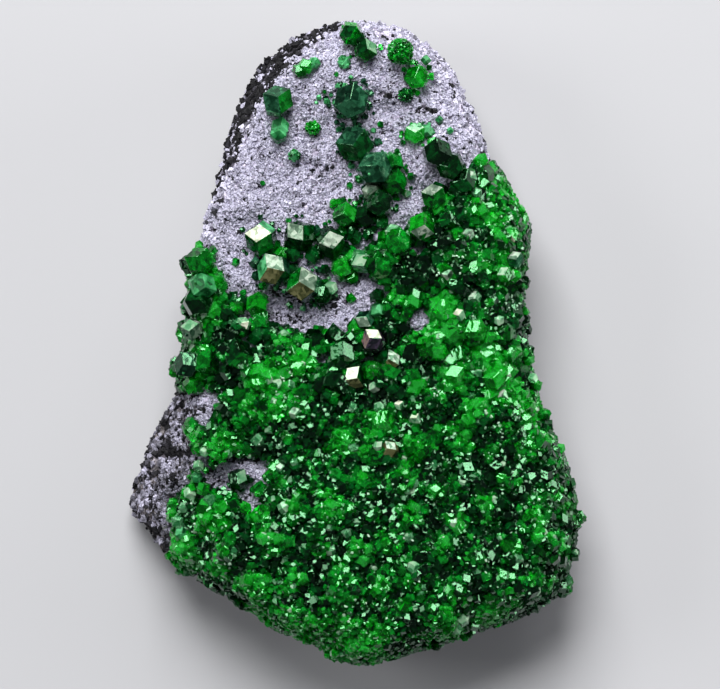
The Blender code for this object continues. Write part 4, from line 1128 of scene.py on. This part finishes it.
# Larger crystals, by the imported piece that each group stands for: x, y, width, tilt X, tilt Y, spin, garnet
heroes = {
    "garnet_crust": [
        (-11.5, 6.1, 2.1, -20, -12, 20, "middle", {"belt": 14}), (-11.2, 4.5, 2.0, 5, 15, 70, "dusty", {"belt": 14}),
        (-11.4, 3.0, 2.2, -10, 8, 35, "deep"),
        (-12.1, 1.2, 1.6, 10, -12, 10, "silver", {"faces": {60: "pale"}, "belt": 8}),
        (-12.4, -1.8, 2.0, 0, -18, 80, "teal", {"belt": 10}), (-10.9, -1.3, 2.1, 15, 10, 50, "middle"),
        (-8.9, -0.9, 2.4, 0, 0, 0, "deep", {"edge": (0.0, -0.1, 45), "faces": {315: "middle"}}),
        (-7.3, 3.3, 1.7, 12, -9, 60, "bright"),
        (-1.0, 5.7, 1.5, -8, 14, 55, "bright"), (1.35, 6.5, 1.5, -12, 6, 25, "middle"),
        (2.1, 5.8, 1.8, 8, -15, 75, "middle"), (5.1, 8.8, 2.1, -8, 10, 55, "bright", {"faces": {300: "silver"}}),
        (3.0, 7.5, 2.0, -14, 5, 50, "middle"), (6.2, 10.9, 1.9, -5, -8, 10, "middle", {"faces": {90: "silver"}}),
        (7.0, 9.3, 1.6, 12, 12, 65, "deep"), (7.9, 12.0, 1.9, -15, 10, 45, "deep"),
        (6.9, 13.3, 2.1, 6, -12, 20, "deep"), (6.1, 14.3, 2.2, -8, 8, 70, "deep"),
        (0.6, 1.8, 1.5, 0, 0, 0, "teal", {"face": (-0.1, -0.1, 150), "faces": {(225, 8): "silver"}}),
        (1.6, 2.6, 1.2, 12, 10, 50, "dusty"),
        (1.1, 0.15, 1.7, 0, 0, 0, "violet", {"edge": (0.05, 0.2, 178), "faces": {88: "cream"}, "raise": 0.25}),
        (-1.0, -0.5, 2.0, 8, 6, 60, "deep"),
        (2.6, -1.2, 1.7, 0, 0, 0, "deep", {"edge": (0.1, 0.1, 150), "faces": {60: "silver", 240: "amber"}}),
        (-0.1, -2.5, 1.8, 0, 0, 0, "deep", {
            "edge": (0.0, -0.1, 10), "faces": {(100, 24): "cream", (280, 36): "amber"}, "raise": 0.2,
        }),
        (8.9, 1.2, 1.8, 10, 8, 35, "bright"), (10.4, -2.6, 1.7, -8, -10, 20, "bright"),
        (2.0, -5.6, 1.7, 5, 12, 44, "bright"),
        # small pale ones among the crust, and silver ones that stand for painted reflections
        (1.2, -2.1, 1.0, 5, 0, 20, "silver"), (1.3, -3.1, 0.9, 0, 9, 60, "silver", {"faces": {80: "pale"}}),
        (3.3, -4.5, 0.8, 0, 0, 10, "pale", {"faces": {90: "cream"}}),
        (4.6, -5.5, 1.0, 5, 5, 30, "pale", {"faces": {100: "cream"}}),
        (1.7, -4.7, 0.9, 0, 8, 50, "pale"), (7.8, 2.3, 1.0, 6, -4, 20, "pale", {"faces": {90: "cream"}}),
        (6.9, 5.4, 1.0, 14, 0, 20, "silver"),
        (11.0, 5.3, 1.2, 5, 0, 30, "bright", {"faces": {60: "pale", 120: "pale"}}),
        (11.8, 5.2, 1.0, 5, 9, 70, "bright", {"faces": {90: "pale"}}),
        (11.9, 6.2, 1.3, 0, 8, 20, "teal", {"faces": {90: "silver"}}),
        (5.1, -2.5, 0.9, 5, 5, 0, "pale"), (-4.5, -5.0, 1.0, 16, 0, 20, "pale", {"faces": {90: "silver"}}),
        (-4.5, -8.7, 0.8, 0, 10, 40, "pale"), (-5.5, -9.2, 0.8, 10, 0, 0, "pale", {"faces": {90: "silver"}}),
        (-8.3, 1.4, 1.1, 0, 0, 0, "pale", {"face": (0.1, -0.2, 40), "faces": {(300, 13): "cream"}}),
        # the frosted strip beside the lower window and the frosted edge below it
        (-11.2, -8.0, 0.8, 0, 0, 10, "pale"), (-11.5, -8.9, 0.9, 8, 0, 50, "pale"),
        (-11.7, -9.8, 0.9, 0, 8, 20, "dusty"), (-12.2, -10.9, 1.0, 0, 0, 70, "pale"),
        (-12.6, -12.2, 0.9, 5, 0, 30, "pale"), (-13.0, -13.2, 1.2, 0, 6, 10, "pale"),
        (-12.8, -14.0, 1.0, 6, 6, 50, "dusty"), (-5.9, -2.9, 1.0, 0, 6, 20, "pale"),
        (-4.9, -3.0, 0.9, 6, 0, 60, "pale"), (-6.5, -2.6, 0.8, 0, 0, 0, "pale"),
        # and the rest of the pale and odd-coloured ones
        (8.9, 3.6, 1.1, 12, 10, 40, "pale", {"faces": {60: "silver"}}), (10.6, 1.9, 0.9, -4, 8, 0, "pale"),
        (13.2, -2.5, 0.8, 8, 0, 30, "pale"), (11.0, -3.7, 0.9, 4, 6, 50, "pale", {"faces": {90: "silver"}}),
        (2.6, -7.9, 1.3, 0, 0, 0, "amber", {"edge": (0.0, 0.1, 170), "faces": {80: "silver"}}),
        (2.8, 8.3, 1.3, 4, 6, 20, "pale"),
        (8.4, 8.2, 1.0, 4, 6, 20, "silver"), (8.4, 12.5, 1.2, 4, 6, 20, "pale", {"faces": {90: "silver"}}),
        (9.0, 11.3, 0.9, 14, -6, 10, "pale"), (6.8, 9.3, 1.2, 0, 0, 40, "middle"),
        (11.7, 8.15, 1.0, 0, 8, 30, "cream"), (9.9, 3.1, 0.9, 10, 0, 80, "bright"),
        (-4.3, -1.9, 1.3, 6, 6, 20, "bright"), (-6.2, -2.3, 1.2, 6, 16, 60, "bright"),
        (-11.1, 3.9, 1.0, 0, 0, 15, "pale"),
    ],
    "crystals_top_edge": [
        (-0.4, 23.2, 1.7, 20, 0, 30, "middle", {"faces": {70: "dusty", 200: "deep"}, "belt": 6}),
        (0.2, 22.8, 1.3, 5, -10, 80, "deep"),
        (0.8, 22.1, 1.7, -6, 12, 65, "middle", {"faces": {60: "pale", 200: "deep"}, "belt": 8, "feet": 6}),
    ],
    "crystal_top_small": [(-0.9, 21.0, 1.1, 10, -8, 20, "dusty", {"knob": 24, "size": 0.7})],
    "crystal_top_flat": [
        (-4.15, 20.45, 1.05, 4, 22, 50, "middle", {"belt": 6, "size": 0.7}), (-3.6, 20.75, 1.15, 10, 12, 20, "bright"),
        (-3.05, 20.95, 0.95, 4, 22, 80, "dusty", {"belt": 8, "size": 0.7}),
    ],
    "crystal_upper_right": [(3.3, 21.8, 2.1, -8, 10, 15, "middle", {"knob": 260, "size": 0.55})],
    "crystals_right_pair": [
        (4.6, 20.0, 1.8, 5, -12, 40, "bright", {"belt": 26, "feet": 14, "size": 0.7}),
        (3.8, 18.8, 1.2, -10, 5, 75, "deep", {"knob": 40, "size": 0.6}),
    ],
    "crystal_left_large": [
        (-5.8, 18.3, 2.35, 0, 0, 0, "teal", {
            "edge": (0.05, -0.1, 100), "faces": {10: "middle", (280, 60): "dusty"}, "belt": 16, "size": 0.7,
        }),
    ],
    "crystal_left_low": [
        (-5.55, 16.15, 1.4, -14, 10, 50, "dusty", {"belt": 6, "size": 0.6}), (-5.6, 15.8, 1.35, -20, 0, 50, "dusty"),
    ],
    "crystal_left_small": [(-4.5, 14.25, 1.0, 8, 8, 35, "dusty", {"knob": 26, "size": 0.6})],
    "crystal_field_small": [(-3.2, 16.35, 1.2, 0, -15, 10, "bright", {"knob": 60, "size": 0.6})],
    "crystal_dark_large": [(-0.3, 18.3, 2.7, -6, -4, 50, "teal", {"feet": 40, "belt": 26})],
    "crystals_middle": [
        (0.0, 14.9, 2.8, 6, -5, 25, "teal", {"feet": 20, "faces": {355: "deep", 235: "deep"}, "belt": 8}),
        (1.3, 13.2, 2.6, -10, 8, 30, "teal", {"feet": 22, "belt": 16}),
        (2.7, 13.7, 1.6, 14, 12, 70, "middle", {"feet": 12}),
        (2.8, 11.9, 2.0, -5, 10, 45, "middle", {"feet": 18, "belt": 8}),
        (1.2, 11.4, 1.3, 10, -14, 15, "silver", {"feet": 10}),
        (1.9, 10.4, 2.0, -12, -6, 60, "deep", {"feet": 22}), (0.9, 9.5, 1.7, -6, 8, 50, "deep", {"feet": 16}),
        (-0.6, 9.6, 1.9, -10, -10, 50, "middle", {"feet": 18, "faces": {60: "bright"}, "belt": 8}),
    ],
    "crystals_chain_end": [
        (4.5, 15.7, 1.6, -4, 8, 0, "bright", {"faces": {90: "pale"}, "feet": 12}),
        (5.4, 16.0, 1.0, 15, 5, 40, "dusty", {"feet": 6}),
    ],
    "crystal_cube_left": [
        (-7.0, 7.9, 2.35, 0, 0, 0, "deep", {
            "face": (-0.23, 0.35, -6), "feet": 10,
            "faces": {(122, 24): "cream", (49, 68): "dusty", (300, 52): "middle"},
        }),
    ],
    "crystals_cube_pair": [
        (-4.0, 7.8, 2.3, 0, 0, 0, "deep", {"face": (-0.28, 0.36, 128), "faces": {(128, 28): "silver"}, "feet": 14}),
        (-2.0, 7.6, 2.25, 0, 0, 0, "deep", {"face": (0.15, 0.18, 14), "faces": {(50, 13): "silver"}, "feet": 16}),
    ],
    "crystal_cube_low": [
        (-6.15, 5.45, 2.4, 0, 0, 0, "teal", {
            "edge": (-0.05, 0.05, 167), "faces": {77: "silver", 257: "amber", (167, 55): "dusty"}, "feet": 14,
        }),
    ],
    "crystals_cube_three": [
        (-3.7, 4.65, 2.5, 0, 0, 0, "teal", {
            "edge": (0.0, 0.0, 148), "faces": {58: "silver", 238: "amber", (148, 55): "middle"}, "feet": 14,
        }),
        (-2.5, 3.8, 1.5, 10, 12, 40, "deep", {"feet": 10}), (-1.8, 4.2, 1.1, -8, 0, 15, "pale", {"feet": 6}),
    ],
    "crystal_window": [
        (-8.6, -9.85, 1.55, 0, 0, 0, "deep", {"face": (0.4, 0.3, 60), "faces": {(37, 30): "pale"}, "feet": 8}),
    ],
}
heroLook = {
    # height of a crystal's middle over the rock and over the crust, in widths; width of its bevel; and the
    # share of the width that a knob's core keeps
    "lift": 0.3, "crustLift": -0.2, "bevel": 0.03, "core": 0.86, "small": (0.20, 0.42),
    # what the small crystals on and round each kind are of, and how often each
    "smallKinds": {
        "deep": ("deep", "middle"), "middle": ("middle", "bright"), "bright": ("bright", "middle"),
        "teal": ("teal", "dusty"), "dusty": ("dusty", "middle"), "silver": ("teal", "silver"),
        "pale": ("pale", "middle"),
    },
    "smallShares": (0.65, 0.35),
}

# tiny crystals by themselves on the bare rock: x, y, width, garnet
lone = [
    (5.3, 21.3, 0.7, "dusty"), (-2.7, 18.5, 0.4, "dusty"), (-2.1, 18.2, 0.5, "dusty"), (-2.3, 18.9, 0.35, "middle"),
    (-2.9, 18.1, 0.3, "dusty"), (-1.8, 18.7, 0.3, "dusty"), (-1.4, 20.2, 0.4, "middle"),
    # the dark ground between the cubes
    (-6.1, 7.3, 1.2, "middle"), (-5.5, 6.9, 0.9, "bright"), (-4.6, 6.8, 1.2, "deep"), (-3.1, 6.7, 1.2, "deep"),
    (-0.9, 7.2, 1.2, "deep"), (-7.4, 6.1, 0.9, "teal"), (-7.3, 5.2, 0.8, "teal"), (-4.6, 5.6, 1.0, "deep"),
    (-5.2, 4.9, 0.8, "middle"), (-2.2, 5.6, 0.8, "deep"), (-0.6, 6.5, 0.9, "bright"), (-1.2, 6.4, 0.9, "middle"),
    (-2.9, 8.6, 0.7, "teal"), (-1.2, 8.3, 0.9, "middle"), (-0.2, 8.5, 1.0, "deep"), (-5.0, 8.4, 0.5, "teal"),
    (0.1, 8.0, 1.1, "deep"), (1.0, 8.3, 0.9, "deep"), (2.0, 9.1, 1.0, "deep"), (-6.9, 4.4, 0.6, "middle"),
    (-5.0, 6.9, 1.0, "bright"), (-0.9, 5.2, 1.0, "bright"), (-0.6, 6.1, 0.8, "middle"), (0.3, 12.4, 0.7, "middle"),
    (3.9, 11.3, 0.6, "pale"), (4.2, 12.6, 0.6, "middle"), (5.8, 15.1, 0.8, "bright"), (-0.4, 11.9, 0.5, "middle"),
    (6.3, 16.8, 0.6, "dusty"), (7.1, 16.0, 0.5, "dusty"), (-6.9, 12.1, 0.4, "middle"), (1.9, 16.5, 0.5, "middle"),
    (-1.6, 10.6, 0.6, "bright"), (-8.9, 6.2, 0.6, "middle"), (-4.9, 3.0, 0.5, "middle"), (-0.3, 3.5, 0.7, "bright"),
]


def smallOnes(middle, width, up, extra, rng):
    # small crystals over the upper half of one crystal, in a belt low round it, or round its foot: middles and widths
    found = []
    feet = extra.get("feet", 0)
    for count, flat, reach in ((extra.get("knob", 0), 1.0, 0.47), (extra.get("belt", 0), 0.3, 0.46)):
        ways = unit(rng.normal(size=(count, 3)) * (1, 1, flat))
        ways = np.where((ways @ up < -0.25)[:, None], -ways, ways)
        sizes = rng.uniform(*heroLook["small"], count) * extra.get("size", 1)
        found.append(np.column_stack((middle + ways * (reach * width - 0.25 * sizes)[:, None], sizes)))
    around = rng.uniform(0, 2 * math.pi, feet)
    reach = width * rng.uniform(0.42, 0.72, feet)
    x, y = middle[0] + reach * np.cos(around), middle[1] + reach * np.sin(around)
    found.append(np.stack((x, y, frontHeight(x, y) + 0.05, rng.uniform(*heroLook["small"], feet) * 1.15), 1))
    return np.concatenate(found)


def buildHeroes():
    # each group one piece of bevelled crystals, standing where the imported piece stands;
    # the small crystals that grow on them, and those by themselves, are one more piece
    rng = np.random.default_rng(5)
    small, smallKinds = [], []
    for node, group in heroes.items():
        x, y, width, tiltX, tiltY, spin = np.array([crystal[:6] for crystal in group], float).T
        kinds = np.array([garnetKinds.index(crystal[6]) for crystal in group])
        extras = [crystal[7] if len(crystal) > 7 else {} for crystal in group]
        ground = np.stack((x, y, frontHeight(x, y)), 1)
        up = frontNormal(x, y)
        middle = ground + up * (heroLook["lift"] * width)[:, None]
        if node == "garnet_crust":
            rise = heroLook["crustLift"] + np.array([extra.get("raise", 0) for extra in extras])
            middle[:, 2] = np.maximum(middle[:, 2], crustLevel(x, y) + rise * width)
        for index, extra in enumerate(extras):
            grown = smallOnes(middle[index], width[index], up[index], extra, rng)
            small.append(grown)
            pair = heroLook["smallKinds"].get(group[index][6], ("deep", "middle"))
            choice = [garnetKinds.index(kind) for kind in pair]
            smallKinds.append(rng.choice(choice, len(grown), p=heroLook["smallShares"]))
        turns = crystalTurns(tiltX, tiltY, spin)
        for index, extra in enumerate(extras):
            for key, crystalUp, crystalAlong in (("face", (1, 1, 0), (1, -1, 0)), ("edge", (2, 1, 1), (-1, 1, 1))):
                if key in extra:
                    turns[index] = facingTurn(crystalUp, crystalAlong, *extra[key])
        cores = width * np.where([("knob" in extra) for extra in extras], heroLook["core"], 1)
        name = node + "_cut" if node != "garnet_crust" else "crust_crystals_large"
        faces = [(index, *face) for index, extra in enumerate(extras) for face in extra.get("faces", {}).items()]
        piece = makeCrystals(name, middle, cores, turns, kinds, rng.uniform(0.4, 0.6, len(x)), faces=faces)
        bevel = piece.modifiers.new("bevel", "BEVEL")
        bevel.width = heroLook["bevel"] * mm
        bevel.segments = 1
        bevel.limit_method = "ANGLE"
        if node != "garnet_crust":
            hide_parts(node)
    alone = np.array([crystal[:3] for crystal in lone])
    small.append(np.column_stack((alone[:, :2], frontHeight(*alone[:, :2].T) + 0.2 * alone[:, 2], alone[:, 2])))
    smallKinds.append(np.array([garnetKinds.index(crystal[3]) for crystal in lone]))
    small, smallKinds = np.concatenate(small), np.concatenate(smallKinds)
    makeCrystals(
        "field_crystals_small", small[:, :3], small[:, 3], randomTurns(rng, len(small)), smallKinds,
        rng.normal(0.5, 0.15, len(small)),
    )


buildHeroes()
print("larger crystals: built")

flakesAndGlints = {
    "tries": 26000, "size": (0.07, 0.15), "seed": 88, "even": 0.015,
    # frosted patches, which also stand for painted glints: x, y, radius, amount
    "patches": [
        (7.8, 6.8, 1.1, 1.0), (11.7, 9.6, 0.8, 1.0), (11.7, 2.9, 0.7, 1.0), (13.1, 0.4, 0.8, 0.9),
        (9.1, 1.9, 0.6, 0.8), (11.9, -3.8, 0.6, 0.8), (-5.3, -1.3, 0.8, 0.8), (-6.5, -7.2, 0.8, 0.6),
        (2.2, -4.6, 0.7, 0.6), (11.9, -7.4, 1.6, 0.5), (6.8, -8.6, 0.8, 0.6), (14.1, -10.5, 1.2, 0.5),
        (14.9, -18.4, 0.8, 0.6), (-5.7, -2.9, 0.8, 0.6), (5.8, -3.5, 0.8, 0.8), (-8.4, -15.6, 1.6, 0.2),
        (1.5, -19.0, 2.6, 0.2), (8.5, -14.0, 3.0, 0.12), (-0.5, -14.5, 3.5, 0.12), (-12.9, -12.9, 1.0, 0.5),
        (-11.6, 5.0, 0.7, 0.5), (-7.6, 3.6, 0.7, 0.5), (3.4, 6.7, 0.8, 0.7), (8.3, 10.6, 0.6, 0.6),
        (-11.7, -9.2, 0.8, 0.9), (-12.3, -13.0, 0.9, 0.8), (-4.9, -2.9, 1.0, 0.6),
    ],
}


def buildFlakesAndGlints():
    # tiny pale flakes on the crystals, frost and painted glints in one: thickest in the frosted patches, found by rays
    # from above
    rng = np.random.default_rng(flakesAndGlints["seed"])
    tree = treeOf(crustPiece.data, 1)
    x, y = rng.uniform((-17, -25), (17.5, 15.5), (flakesAndGlints["tries"], 2)).T
    weight = withSpots(np.full(len(x), flakesAndGlints["even"]), x, y, flakesAndGlints["patches"])
    keep = rng.uniform(size=len(x)) < weight * crustMask(x, y) * smooth(-0.5, 0.6, lumps(x, y, 0.8, 0.6, 91))
    keep &= inside(x, y, slab["outline"])
    spots, sizes = [], []
    for px, py, size in zip(x[keep], y[keep], rng.uniform(*flakesAndGlints["size"], int(keep.sum()))):
        hit, normal, _, _ = tree.ray_cast(Vector((px * mm, py * mm, 0.03)), Vector((0, 0, -1)))
        if hit is not None and normal.z > 0.2:
            spots.append(np.array(hit) / mm + 0.2 * size * np.array(normal))
            sizes.append(size)
    points, faces = blocks(np.array(spots), np.array(sizes), rng)
    tone = np.repeat(np.clip(rng.normal(0.5, 0.22, len(spots)), 0, 1), 8)
    makePiece("crust_flakes_and_glints", keptInBox(points, 8), [faces], [garnets["frostAndGlint"]], attributes={"tone": tone})
    print("dust:", len(spots), "flakes")


buildFlakesAndGlints()


# Floor, light and camera

stage = {
    # lengths here are in metres
    "floor": (0.46, 0.46, 0.475), "floorSize": 1.6,
    "world": (0.75, 0.78, 0.85), "worldStrength": 0.14,
    "aim": (0, 0, 0.008),
    # place, width, height, watts
    "key": ((-0.08, 0.45, 0.55), 0.42, 0.42, 8.0),
    "low": ((0.12, 0.60, 0.16), 0.5, 0.16, 2.2),
    "side": ((-0.62, 0.10, 0.40), 0.3, 0.3, 1.6),
    "rim": ((0.60, 0.05, 0.16), 0.4, 0.14, 1.5),
}


def buildStage():
    floorMesh = bpy.data.meshes.new("floor")
    half = stage["floorSize"] / 2
    floorMesh.from_pydata([(-half, -half, 0), (half, -half, 0), (half, half, 0), (-half, half, 0)], [], [(0, 1, 2, 3)])
    material, tree, shader, _ = newMaterial("floor_paper")
    feed(tree, shader, {"Base Color": (*stage["floor"], 1), "Roughness": 0.9})
    floorMesh.materials.append(material)
    floor = placed("floor", floorMesh)
    world = bpy.data.worlds.new("studio")
    world.use_nodes = True
    background = world.node_tree.nodes["Background"]
    feed(world.node_tree, background, {"Color": (*stage["world"], 1), "Strength": stage["worldStrength"]})
    bpy.context.scene.world = world
    for name in ("key", "low", "side", "rim"):
        place, width, height, watts = stage[name]
        data = bpy.data.lights.new(name, "AREA")
        data.shape = "RECTANGLE"
        data.size, data.size_y = width, height
        data.energy = watts
        lamp = placed(name, data)
        lamp.location = place
        lamp.rotation_euler = (Vector(stage["aim"]) - Vector(place)).to_track_quat("-Z", "Y").to_euler()


camera = {"middle": (0.375, 0.0375, 7.0), "distance": 600.0, "frame": 54.0, "sensor": 36.0}


def buildCamera():
    # straight down; the frame's 720 points span 54 mm at the height of the front
    data = bpy.data.cameras.new("camera")
    data.sensor_width = camera["sensor"]
    data.lens = camera["sensor"] * camera["distance"] / camera["frame"]
    data.clip_start = 0.01
    eye = placed("camera", data)
    x, y, z = camera["middle"]
    eye.location = (x * mm, y * mm, (z + camera["distance"]) * mm)
    bpy.context.scene.camera = eye


buildStage()
buildCamera()
bpy.context.scene.view_settings.view_transform = "Standard"
print("stage: built")
